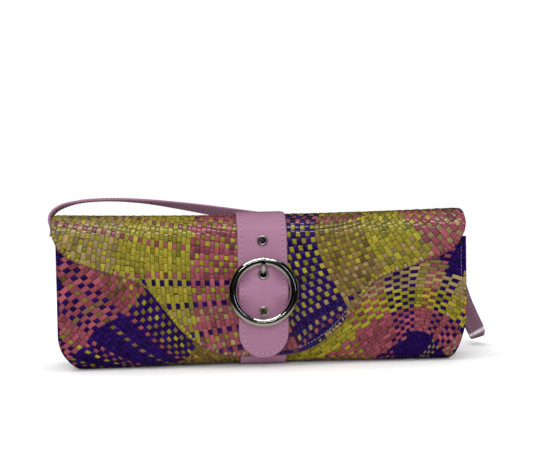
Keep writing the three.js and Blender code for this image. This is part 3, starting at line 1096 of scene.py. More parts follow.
class StripWeave:
    """Plaits a panel: every strip is a small domed pad where it lies on top."""

    def __init__(self, surface: Surface, backing_inset: float, shape: PadShape, seed: int) -> None:
        """Starts an empty weave.

        Args:
            surface: Panel that the strips lie on.
            backing_inset: Depth of the backing's face under the panel's face, in mm.
            shape: Form of one pad.
            seed: Start of the chance changes.
        """
        self.surface = surface
        self.inset = backing_inset
        self.shape = shape
        self.random = np.random.default_rng(seed)
        self.verts: list[Points] = []
        self.faces: list = []
        self.colours: list[Points] = []
        self.uvs: list[Points] = []
        self.count = 0

    def add_pads(self, u: Points, v: Points, height: Points, uv: Points, dye: Points, faces: list,
                 shade: Points) -> None:
        """Adds pads that are already placed.

        Args:
            u: Places across the panel, a row for each pad.
            v: Places along the panel, a row for each pad.
            height: Heights over the backing, a row for each pad.
            uv: Places along and across each strip.
            dye: Colour of each pad.
            faces: Faces of one pad.
            shade: How light each point of a pad is, dark where it goes under its neighbours.
        """
        pads, corners = u.shape
        points = self.surface(u.ravel(), v.ravel(), (self.inset - height).ravel())
        a, b, _, d = points.reshape(pads, corners, 3)[:, faces[0]].swapaxes(0, 1)
        out = self.surface(u[:, 0], v[:, 0], -1.0) - self.surface(u[:, 0], v[:, 0], 0.0)
        turned = np.einsum("ij,ij->i", np.cross(b - a, d - a), out) < 0
        for pad in range(pads):
            base = self.count + pad * corners
            rings = [[base + k for k in face] for face in faces]
            self.faces += [ring[::-1] for ring in rings] if turned[pad] else rings
        tone = self.random.normal(1.0, self.shape.tone, (pads, 1)).clip(*self.shape.tone_limits)
        tint = self.random.normal(1.0, self.shape.tint, (pads, 3))
        colour = np.ones((pads, corners, 4))
        colour[:, :, :3] = (dye * tone * tint)[:, None, :] * shade[None, :, None]
        self.verts.append(points)
        self.colours.append(colour.reshape(-1, 4))
        self.uvs.append(uv.reshape(-1, 2))
        self.count += pads * corners

    def lay(self, lattice: Lattice, clamp: Callable[[Points, Points], tuple[Points, Points]]) -> None:
        """Lays one layout of crossing strips.

        Args:
            lattice: The layout.
            clamp: Holds places inside the panel's outline.
        """
        shape = self.shape
        ci, cj = lattice.crossings()
        upright = (ci + cj) % 2 == lattice.over
        on_top = upright[:, None]
        s, t, faces = shape.template()
        column_wide, column_long = shape.column_half
        row_wide, row_long = shape.row_half
        jitter = self.random.normal(0.0, shape.jitter, (len(ci), 2))
        i = ci[:, None] + np.where(on_top, t * column_wide, s * row_long) + jitter[:, :1]
        j = cj[:, None] + np.where(on_top, s * column_long, t * row_wide) + jitter[:, 1:]
        u, v = clamp(*lattice.place(i, j))
        lift = self.random.normal(0.0, shape.lift, (len(ci), 1))
        fall = (shape.crown + shape.dive) * np.abs(s) ** shape.arch + shape.edge * np.abs(t) ** 6
        tilt = self.random.normal(0.0, shape.tilt, (len(ci), 2)).clip(-2 * shape.tilt, 2 * shape.tilt)
        height = shape.crown + lift - fall + tilt[:, :1] * s + tilt[:, 1:] * t
        strip = np.where(upright, ci * 7.31, cj * 5.17 + 400.0)[:, None]
        length = np.where(upright, cj, ci)[:, None] + 0.5 * s
        uv = np.stack([np.floor(strip) + 0.5 + 0.48 * t, length * 1.3 + strip], -1)
        dye = np.where(on_top, *lattice.strip_dyes(ci, cj))
        self.add_pads(u, v, height, uv, dye, faces, shape.shade(s, t))

    def hem(self, u: Points, v: Points, width: float, dye: Sheet, pitch: float) -> None:
        """Lays the turned ends of the strips along an edge of the panel.

        Args:
            u: Edge's places across the panel.
            v: Edge's places along the panel, with the panel on the left of the way round.
            width: How far the hem reaches in, in mm.
            dye: Gives the pads' colours from their places across and along the panel.
            pitch: Length of a pad along the edge, in mm.
        """
        edge = np.stack([u, v], -1)
        run = run_of(edge)
        count = max(1, int(round(run[-1] / pitch)))
        s, t, faces = HEM_PAD.template()
        number = np.arange(count)[:, None]
        centre = (number + 0.5) * run[-1] / count
        place = centre + s * 0.53 * run[-1] / count
        step = 1.5
        way = unit(read_line(place + step, run, edge) - read_line(place - step, run, edge))
        reach = (t * 0.5 + 0.5) * width
        outer = np.clip(reach / (0.35 * width), 0.0, 1.0)
        inner = np.clip(reach / width - 0.55, 0.0, 1.0)
        height = 1.05 * np.sqrt(1.0 - (1.0 - outer) ** 2) - 0.45 - 0.9 * inner ** 1.5 - 0.28 * np.abs(s) ** 3
        height = height + self.random.normal(0.0, self.shape.lift, (count, 1))
        height = height + self.random.normal(0.0, self.shape.tilt, (count, 1)) * s
        uv = np.stack([np.floor(number * 3.7) + 0.5 + 0.45 * s, reach * 0.3 + number * 1.7], -1)
        at = read_line(place, run, edge)
        colour = dye(*read_line(centre[:, 0], run, edge).T)
        self.add_pads(at[..., 0] - way[..., 1] * reach, at[..., 1] + way[..., 0] * reach, height, uv, colour,
                      faces, self.shape.shade(s, t * 0.5))

    def finish(self, name: str, material: Material) -> Piece:
        """Joins the pads into one piece."""
        return mesh_from_arrays(name, np.concatenate(self.verts), self.faces, material,
                                np.concatenate(self.colours), np.concatenate(self.uvs))


class Stitching:
    """Rows of sewn stitches as small threads lying in their own needle holes, which are flat dark marks of
    painted shade.
    """

    def __init__(self, pitch: float, length: float, width: float) -> None:
        """Starts an empty row.

        Args:
            pitch: Distance between stitches in mm.
            length: Length of a stitch's thread that shows, in mm.
            width: Thickness of the thread in mm.
        """
        self.pitch = pitch
        self.thread_size = np.array([length, width, width * 0.8])
        # Each needle hole is a flat dark mark: painted shade where the thread goes in.
        self.hole_size = width * np.array([1.5, 1.4, 0.3])
        self.lift = width * 0.12
        bm = bmesh.new()
        bmesh.ops.create_uvsphere(bm, u_segments=8, v_segments=5, radius=0.5)
        bmesh.ops.rotate(bm, verts=bm.verts, cent=(0, 0, 0), matrix=Matrix.Rotation(QUARTER_TURN, 3, "Y"))
        bm.verts.index_update()
        self.ball = np.array([vert.co[:] for vert in bm.verts])
        self.ball_faces = np.array([[vert.index for vert in face.verts] for face in bm.faces], dtype=object)
        bm.free()
        self.threads: list[Points] = []
        self.holes: list[Points] = []

    def row(self, line: Points, out: Points) -> None:
        """Sews along a line.

        Args:
            line: Points of the line on the surface, in mm.
            out: The way the surface looks at each point.
        """
        run = run_of(line)
        step = 0.4
        for spot in np.arange(self.pitch / 2, run[-1], self.pitch):
            way = unit(read_line(spot + step, run, line) - read_line(spot - step, run, line))
            up = read_line(spot, run, out)
            up = unit(up - way * (up @ way))
            turn = np.stack([way, np.cross(up, way), up])
            thread_at = read_line(spot, run, line) + up * self.lift
            hole_at = read_line(spot + self.pitch / 2, run, line)
            self.threads.append((self.ball * self.thread_size) @ turn + thread_at)
            self.holes.append((self.ball * self.hole_size) @ turn + hole_at)

    def on_panel(self, surface: Surface, u: Points, v: Points, depth: float, above: float) -> None:
        """Sews along a line on a panel.

        Args:
            surface: The panel.
            u: Places across it.
            v: Places along it.
            depth: Third number of the surface where the thread lies.
            above: That number out in the air.
        """
        line = surface(u, v, depth)
        self.row(line, surface(u, v, above) - line)

    def joined(self, name: str, parts: list[Points], material: Material) -> Piece:
        """Joins the threads or the holes into one piece.

        Args:
            name: Name of the piece.
            parts: Points of each thread or hole.
            material: Its finish.

        Returns:
            The piece.
        """
        starts = range(0, len(parts) * len(self.ball), len(self.ball))
        faces = [[start + corner for corner in face] for start in starts for face in self.ball_faces]
        return mesh_from_arrays(name, np.concatenate(parts), faces, material)


@dataclass
class Flap:
    """Plaited flap with its hem and facing."""

    finishes: Finishes
    seed: int = 11
    backing_inset: float = 0.75
    hem_width: float = 3.6
    hem_pitch: float = 3.6
    clear: float = 0.8
    back_seam: float = 138.0
    left_seam: float = -91.5
    seam_overlap: float = 1.4
    slant_foot: Pair = (20.5, 38.0)
    slant: float = 0.385
    hem_limits: tuple[float, ...] = (-103.0, -52.0, 6.0, 50.0, 79.0, 124.0)
    hem_main: tuple[Strand, ...] = (TAN, YELLOW, PINK, PURPLE, TAN, YELLOW, PINK)
    hem_other: tuple[Strand, ...] = (YELLOW, YELLOW, TAN, PURPLE, TAN, TAN, PINK)
    dark_corner: float = 124.0
    backing_show: float = -0.5
    lining_inset: float = 2.1
    lining_wall: float = 1.0
    lining_show: float = 0.7
    topstitch_span: Pair = (27.0, 71.0)
    topstitch_inset: float = 4.3

    def clamp(self, u: Points, v: Points) -> tuple[Points, Points]:
        """Holds places inside the flap's outline."""
        u = np.clip(u, self.clear - FORM.flap_end, FORM.flap_end - self.clear)
        return u, np.clip(v, FORM.flap_edge(u) + self.clear, FORM.flap_length - self.clear)

    def inside(self, u: Points, v: Points) -> Points:
        """Tells which places lie on the flap, clear of its hem."""
        across = np.abs(u) < FORM.flap_end - 0.6
        return across & (v > FORM.flap_edge(u) + 1.2) & (v < FORM.flap_length - 1.0)

    def slanted_seam(self, v: Points) -> Points:
        """Where the middle and right layouts meet: under the closure strap, and right of its rounded end."""
        across, length = self.slant_foot
        return np.maximum(0.0, across + (length - v) * self.slant)

    def on_front(self, u: Points, v: Points) -> Points:
        """Tells which places lie on the flap's front and crown."""
        return self.inside(u, v) & (v < self.back_seam)

    def on_left(self, u: Points, v: Points) -> Points:
        """Tells which places lie in the left layout."""
        return self.on_front(u, v) & (u < self.left_seam + self.seam_overlap)

    def on_middle(self, u: Points, v: Points) -> Points:
        """Tells which places lie in the middle layout."""
        return self.on_front(u, v) & (u >= self.left_seam - self.seam_overlap) & (u < self.slanted_seam(v))

    def on_right(self, u: Points, v: Points) -> Points:
        """Tells which places lie in the right layout."""
        return self.on_front(u, v) & (u >= self.slanted_seam(v))

    def on_back(self, u: Points, v: Points) -> Points:
        """Tells which places lie in the back layout."""
        return self.inside(u, v) & (v >= self.back_seam)

    def lattices(self) -> list[Lattice]:
        """Layouts of the strips: left end, middle, right fan and back.

        Returns:
            The layouts.
        """
        left = Lattice(
            terms=(Term(0, 0, -162.18, 120.87), Term(0, 1, -2.2724, -6.3619), Term(0, 2, 0.1106, 0.061),
                   Term(1, 0, 3.8702, -0.9107), Term(1, 1, 0.0626, 0.0644), Term(2, 0, -0.0123, 0.00086)),
            columns=(-8, 24), rows=(-10, 9), keep=self.on_left, over=1,
            column_bands=bands((TAN, 22), (YELLOW, 30)),
            row_bands=bands((YELLOW, 6), (PINK, 1), (YELLOW, 3), (PINK, 1), (YELLOW, 5), (PINK, 1),
                            (PURPLE, 1), (YELLOW, 5)))
        middle = Lattice(
            terms=(Term(0, 0, -147.04, 116.32), Term(0, 1, -0.0826, -8.3193), Term(0, 2, 0.0685, -0.0044),
                   Term(1, 0, 2.4322, -0.7602), Term(1, 1, -0.0089, 0.0867), Term(2, 0, 0.02097, 0.00418)),
            columns=(14, 58), rows=(-10, 20), keep=self.on_middle, over=1,
            column_bands=bands((YELLOW, 16), (PINK, 30)),
            row_bands=bands((YELLOW, 3), (PINK, 2), (YELLOW, 2), (PINK, 1), (YELLOW, 2), (PINK, 1),
                            (YELLOW, 3), (PINK, 1), (PURPLE, 1), (YELLOW, 2), (PURPLE, 1), (TAN, 2),
                            (PINK, 1), (PURPLE, 1), (YELLOW, 1), (TAN, 1), (PURPLE, 1), (TAN, 1), (PINK, 4)),
            patches=(Patch((42, 58), (16, 17), PINK, Strips.ROWS),
                     Patch((42, 58), (18, 18), PURPLE, Strips.ROWS)))
        right = Lattice(
            terms=(Term(0, 0, 44.609, 113.99), Term(0, 1, -0.5647, -5.3428), Term(0, 2, 0.3682, -0.0357),
                   Term(0, 3, -0.01386, 0.00431), Term(1, 0, 3.9343, 0.2249), Term(1, 1, -0.0531, 0.1562),
                   Term(1, 2, 0.00245, -0.00426), Term(2, 0, -0.00102, 0.05356),
                   Term(2, 1, 0.00342, -0.00469), Term(3, 0, -0.00095, 0.00087)),
            columns=(-24, 44), rows=(-8, 17), keep=self.on_right, bent_rows=(-99.0, 14.5),
            column_bands=bands((PURPLE, 24), (BRONZE, 10), (YELLOW, 9), (PINK, 9), (PURPLE, 20)),
            row_bands=bands((YELLOW, 6), (PINK, 2), (YELLOW, 8), (TAN, 2), (YELLOW, 1), (TAN, 1),
                            (PURPLE, 1), (TAN, 1), (PINK, 1), (PURPLE, 1), (TAN, 1), (PURPLE, 1)),
            patches=(Patch((17, 44), (10, 10), TAN, Strips.ROWS),))
        back = Lattice(
            terms=(Term(0, 0, -164.0, 206.5), Term(0, 1, 0.0, -5.5), Term(1, 0, 4.1, 0.0)),
            columns=(0, 80), rows=(0, 13), keep=self.on_back,
            column_bands=bands((TAN, 15), (YELLOW, 12), (PINK, 13), (PURPLE, 8), (TAN, 11), (YELLOW, 8),
                               (PINK, 10), (PURPLE, 4)),
            row_bands=bands((YELLOW, 2), (PINK, 1), (YELLOW, 2), (TAN, 1), (PINK, 1), (YELLOW, 5)))
        return [left, middle, right, back]

    def hem_dye(self, across: Points, along: Points) -> Points:
        """Colours of the hem's pads, from the strips that end there and those that cross them in turn.

        Args:
            across: Places of the pads across the flap.
            along: Places of the pads along the flap.

        Returns:
            One RGB row for each pad.
        """
        zone = np.searchsorted(self.hem_limits, across)
        even = (np.arange(len(across)) % 2 == 0)[:, None]
        colours = np.where(even, dye_rows(self.hem_main)[zone], dye_rows(self.hem_other)[zone])
        corner = (across > FORM.flap_end - 1.0) & (along > self.dark_corner)
        return np.where(corner[:, None], PURPLE.value, colours)

    def edge_path(self) -> tuple[Points, Points]:
        """The flap's whole outline, with the flap on its left.

        Returns:
            Places across and along the flap.
        """
        end = FORM.flap_end
        front = np.linspace(-end, end, 240)
        side = np.linspace(FORM.flap_edge(end) + 1.0, FORM.flap_length, 40)
        back = np.linspace(end, -end, 100)[1:]
        u = np.concatenate([front, np.full_like(side, end), back, np.full_like(side[1:], -end)])
        v = np.concatenate([FORM.flap_edge(front), side, np.full_like(back, FORM.flap_length), side[-2::-1]])
        return u, v

    def layer(self, inset: float, show: float, end: float, a: Points, b: Points) -> Points:
        """Points of one layer of the flap.

        Args:
            inset: Its depth.
            show: How far it shows under the flap's front edge.
            end: Length of the flap where it ends.
            a: Shares across.
            b: Shares along.

        Returns:
            Points in mm.
        """
        u = (2.0 * a - 1.0) * (FORM.flap_end - 0.3)
        low = FORM.flap_edge(u) - show
        return FORM.flap(u, low + (end - low) * b, inset)

    def topstitch(self) -> Piece:
        """Sews the short row beside the closure strap.

        Returns:
            The threads.
        """
        sewing = Stitching(pitch=3.0, length=2.7, width=0.34)
        x = np.linspace(*self.topstitch_span, 60)
        slope = np.gradient(FORM.flap_edge(x), x)
        away = self.topstitch_inset / np.sqrt(1.0 + slope * slope)
        sewing.on_panel(FORM.flap, x - away * slope, FORM.flap_edge(x) + away, 0.0, -1.0)
        return sewing.joined("flap_topstitch", sewing.threads, self.finishes.pale_thread)

    def build(self) -> list[Piece]:
        """Builds the flap's weave, backing, facing and topstitch.

        Returns:
            The pieces.
        """
        weave = StripWeave(FORM.flap, self.backing_inset, PadShape(), self.seed)
        for lattice in self.lattices():
            weave.lay(lattice, self.clamp)
        weave.hem(*self.edge_path(), self.hem_width, self.hem_dye, self.hem_pitch)
        strips = weave.finish("flap_weave", self.finishes.woven)
        end = FORM.flap_length - 0.4
        outer, inner = (partial(self.layer, inset, self.backing_show, end)
                        for inset in (self.backing_inset, FORM.flap_wall))
        backing = new_object("flap_backing", walled(120, 60, outer, inner), self.finishes.backing)
        outer, inner = (partial(self.layer, inset, self.lining_show, FORM.over_crown)
                        for inset in (self.lining_inset, self.lining_inset + self.lining_wall))
        lining = new_object("flap_facing", walled(120, 50, outer, inner), self.finishes.lining)
        topstitch = self.topstitch()
        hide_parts("flap")
        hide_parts("flap_lining")
        return [strips, backing, lining, topstitch]


@dataclass
class Body:
    """Plaited front, base and back in one wall."""

    finishes: Finishes
    front_seed: int = 23
    back_seed: int = 29
    backing_inset: float = 0.75
    under_flap: float = 11.0
    hem_width: float = 2.6
    hem_pitch: float = 4.0
    back_clear: float = 8.0
    right_end_limits: tuple[float, ...] = (30.0, 48.0, 58.0, 64.0, 71.0)
    right_ends: tuple[Strand, ...] = (PURPLE, TAN, YELLOW, PINK, YELLOW)
    seam_inset: float = 4.4
    seam_span: Pair = (8.0, 98.0)

    @property
    def length(self) -> float:
        """Length of the wall from its front mouth to its back mouth."""
        return 2 * FORM.body_middle

    def clamp(self, u: Points, v: Points) -> tuple[Points, Points]:
        """Holds places inside the body wall's outline."""
        return np.clip(u, 0.9 - FORM.left_reach, FORM.right_reach - 0.9), np.clip(v, 0.8, self.length - 0.8)

    def shows(self, u: Points, v: Points) -> Points:
        """Tells which places lie on the wall and aren't covered by the flap's front.

        Args:
            u: Places across the wall.
            v: Places along the wall.

        Returns:
            True where they show.
        """
        across = (u > 0.8 - FORM.left_reach) & (u < FORM.right_reach - 0.8)
        cover = FORM.mouth - FORM.flap_edge(u) - self.under_flap
        return across & (v > 1.0) & (v < self.length - 1.0) & (v > cover)

    def on_left(self, u: Points, v: Points) -> Points:
        """Tells which places lie on the front's left half."""
        return self.shows(u, v) & (u < 0.0) & (v <= FORM.body_middle)

    def on_right(self, u: Points, v: Points) -> Points:
        """Tells which places lie on the front's right half."""
        return self.shows(u, v) & (u >= 0.0) & (v <= FORM.body_middle)

    def on_back(self, u: Points, v: Points) -> Points:
        """Tells which places lie on the back."""
        return self.shows(u, v) & (v > FORM.body_middle) & (v < self.length - self.back_clear)

    def lattices(self) -> list[Lattice]:
        """Layouts of the strips: front left, front right and back.

        Returns:
            The layouts.
        """
        left = Lattice(
            terms=(Term(0, 0, -158.0, 91.786), Term(0, 1, 4.3358, -2.4866), Term(0, 2, -0.04, -0.0713),
                   Term(1, 0, 2.9048, 1.7725), Term(1, 1, -0.0267, 0.0958), Term(2, 0, -0.0057, -0.01447)),
            columns=(-32, 48), rows=(-6, 40), keep=self.on_left, over=1,
            column_bands=bands((PINK, 27), (BROWN, 1), (PINK, 4), (PURPLE, 16), (BRONZE, 40)),
            row_bands=bands((PURPLE, 5), (BRONZE, 1), (YELLOW, 1), (PURPLE, 2), (YELLOW, 1), (PINK, 2),
                            (PURPLE, 3), (BRONZE, 1), (PURPLE, 2), (PINK, 1), (BRONZE, 2), (YELLOW, 1),
                            (BRONZE, 2), (YELLOW, 1), (BRONZE, 3), (YELLOW, 1), (BRONZE, 9)),
            slip_rows=(4, 6, 7, 8, 9, 10, 11, 12, 13),
            slips=(0.2, -0.5, -0.55, -0.25, 0.15, 0.75, 1.3, 1.75, 2.0))
        columns, rows, both = Strips
        right = Lattice(
            terms=(Term(0, 0, 121.606, 42.279), Term(0, 1, -0.2385, 2.7965), Term(0, 2, 0.02746, -0.00379),
                   Term(1, 0, 6.1912, -0.1864), Term(1, 1, -0.2132, -0.0145), Term(2, 0, -0.03434, 0.254)),
            columns=(-24, 14), rows=(-24, 36), keep=self.on_right, over=1,
            bent_columns=(-9.0, 7.0), bent_rows=(-12.0, 13.0),
            column_bands=bands((YELLOW, 16), (PINK, 5), (PURPLE, 4), (PINK, 3), (PURPLE, 2), (PINK, 1),
                               (PURPLE, 3), (TAN, 8)),
            row_bands=bands((PURPLE, 16), (TAN, 8), (YELLOW, 6), (PINK, 7), (PURPLE, 30)),
            patches=(Patch((1, 1), (-24, 5), YELLOW, columns), Patch((6, 6), (-24, 5), TAN, columns),
                     Patch((7, 7), (-24, 5), YELLOW, columns), Patch((4, 14), (-24, -6), PURPLE, both),
                     Patch((-4, 5), (13, 36), PURPLE, both), Patch((6, 8), (13, 36), TAN, columns),
                     Patch((9, 14), (13, 36), PURPLE, columns), Patch((-24, -2), (13, 14), PINK, rows)))
        back = Lattice(
            terms=(Term(0, 0, 0.0, 185.0), Term(0, 1, 3.3, 2.7), Term(1, 0, 3.3, -2.7),
                   Term(2, 0, 0.01, 0.012), Term(0, 2, -0.01, 0.012)),
            columns=(-40, 42), rows=(-42, 42), keep=self.on_back,
            column_bands=bands((PINK, 14), (TAN, 6), (PURPLE, 12), (YELLOW, 8), (PINK, 12), (PURPLE, 10),
                               (TAN, 8), (YELLOW, 30)),
            row_bands=bands((PURPLE, 10), (YELLOW, 3), (PINK, 6), (PURPLE, 8), (TAN, 4), (PURPLE, 9),
                            (PINK, 5), (YELLOW, 4), (PURPLE, 9), (TAN, 5), (PINK, 30)))
        return [left, right, back]

    def side_dye(self, across: Points, along: Points) -> Points:
        """Colours of the turned ends along the seams.

        Args:
            across: Places of the pads across the wall.
            along: Places of the pads along the wall.

        Returns:
            One RGB row for each pad: the colours of the rows that end on the front's right, elsewhere
            purple and pink.
        """
        ends = dye_rows(self.right_ends)
        zone = np.searchsorted(self.right_end_limits, along)
        on_front = (across > 0.0) & (zone < len(ends))
        return np.where(on_front[:, None], ends[np.minimum(zone, len(ends) - 1)], turned_ends(across, along))

    def sheet(self, inset: float, a: Points, b: Points) -> Points:
        """Points of the wall at a depth, for shares across and along."""
        across = 0.3 - FORM.left_reach + a * (FORM.left_reach + FORM.right_reach - 0.6)
        return FORM.body(across, 0.3 + b * (self.length - 0.6), inset)

    def weaves(self) -> list[Piece]:
        """Plaits the front and the back, with hems along both end seams.

        Returns:
            The front's weave and the back's.
        """
        long_columns = PadShape(column_half=(0.55, 0.79), row_half=(0.37, 0.64))
        long_rows = PadShape(column_half=(0.36, 0.67), row_half=(0.54, 0.77))
        front = StripWeave(FORM.body, self.backing_inset, long_columns, self.front_seed)
        back = StripWeave(FORM.body, self.backing_inset, long_columns, self.back_seed)
        left, right, rear = self.lattices()
        front.lay(left, self.clamp)
        front.shape = long_rows
        front.lay(right, self.clamp)
        back.lay(rear, self.clamp)
        run = np.linspace(0.6, self.length - 0.6, 140)
        for reach, way in ((FORM.right_reach, run), (-FORM.left_reach, run[::-1])):
            front.hem(np.full_like(way, reach), way, self.hem_width, self.side_dye, self.hem_pitch)
        return [front.finish("body_weave_front", self.finishes.body_woven),
                back.finish("body_weave_back", self.finishes.body_woven)]

    def build(self) -> list[Piece]:
        """Builds the body's weave, backing and seam stitches.

        Returns:
            The pieces.
        """
        strips, rear_strips = self.weaves()
        wall = walled(60, 90, partial(self.sheet, self.backing_inset), partial(self.sheet, FORM.body_wall))
        backing = new_object("body_backing", wall, self.finishes.backing)
        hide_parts("body_wrap")
        sewing = Stitching(pitch=3.0, length=2.2, width=0.26)
        down = np.linspace(*self.seam_span, 60)
        sewing.on_panel(FORM.body, np.full_like(down, FORM.right_reach - self.seam_inset), down, 0.05, -1.0)
        stitches = sewing.joined("body_seam_stitches", sewing.threads, self.finishes.pale_thread)
        pieces = [strips, rear_strips, backing, stitches]
        return pieces


@dataclass
class EndWall:
    """One plaited end wall, set between the edges of the body wall."""

    finishes: Finishes
    side: int
    node: str
    seed: int = 31
    backing_inset: float = 0.75
    half_depth: float = FORM.half_depth - FORM.body_wall
    low: float = FORM.body_wall + 0.3
    high: float = FORM.gusset_top
    hem_width: float = 2.6
    hem_pitch: float = 3.8
    pad_half: Pair = (0.47, 0.6)

    def surface(self, u: Points, v: Points, inset: Points) -> Points:
        """Points of the wall, from places through the bag in mm."""
        return FORM.gusset(self.side, u / self.half_depth, v, inset)

    def sheet(self, inset: float, a: Points, b: Points) -> Points:
        """Points of the wall at a depth, for shares through the bag and up."""
        return FORM.gusset(self.side, 2.0 * a - 1.0, self.low + b * (self.high - 0.3 - self.low), inset)

    def inside(self, u: Points, v: Points) -> Points:
        """Tells which places lie on the wall, clear of its hem."""
        return (np.abs(u) < self.half_depth - 0.6) & (v > self.low + 0.6) & (v < self.high - 1.2)

    def clamp(self, u: Points, v: Points) -> tuple[Points, Points]:
        """Holds places inside the wall's outline."""
        deep = self.half_depth - 0.6
        return np.clip(u, -deep, deep), np.clip(v, self.low + 0.5, self.high - 0.8)

    def build(self) -> list[Piece]:
        """Builds the wall's weave and backing.

        Returns:
            The pieces.
        """
        shape = PadShape(column_half=self.pad_half, row_half=self.pad_half)
        weave = StripWeave(self.surface, self.backing_inset, shape, self.seed)
        lattice = Lattice(
            terms=(Term(0, 0, 0.0, 50.0), Term(0, 1, 2.9, 2.9), Term(1, 0, 2.9, -2.9)),
            columns=(-16, 16), rows=(-16, 16), keep=self.inside,
            column_bands=bands((PURPLE, 12), (PINK, 9), (PURPLE, 20)),
            row_bands=bands((PURPLE, 6), (TAN, 2), (PURPLE, 5), (PINK, 4), (YELLOW, 1), (PURPLE, 20)))
        weave.lay(lattice, self.clamp)
        top = self.side * np.linspace(self.half_depth, -self.half_depth, 40)
        weave.hem(top, np.full_like(top, self.high), self.hem_width, turned_ends, self.hem_pitch)
        strips = weave.finish(f"{self.node}_weave", self.finishes.body_woven)
        wall = walled(16, 40, partial(self.sheet, self.backing_inset), partial(self.sheet, FORM.gusset_wall))
        backing = new_object(f"{self.node}_backing", wall, self.finishes.backing)
        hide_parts(self.node)
        return [strips, backing]


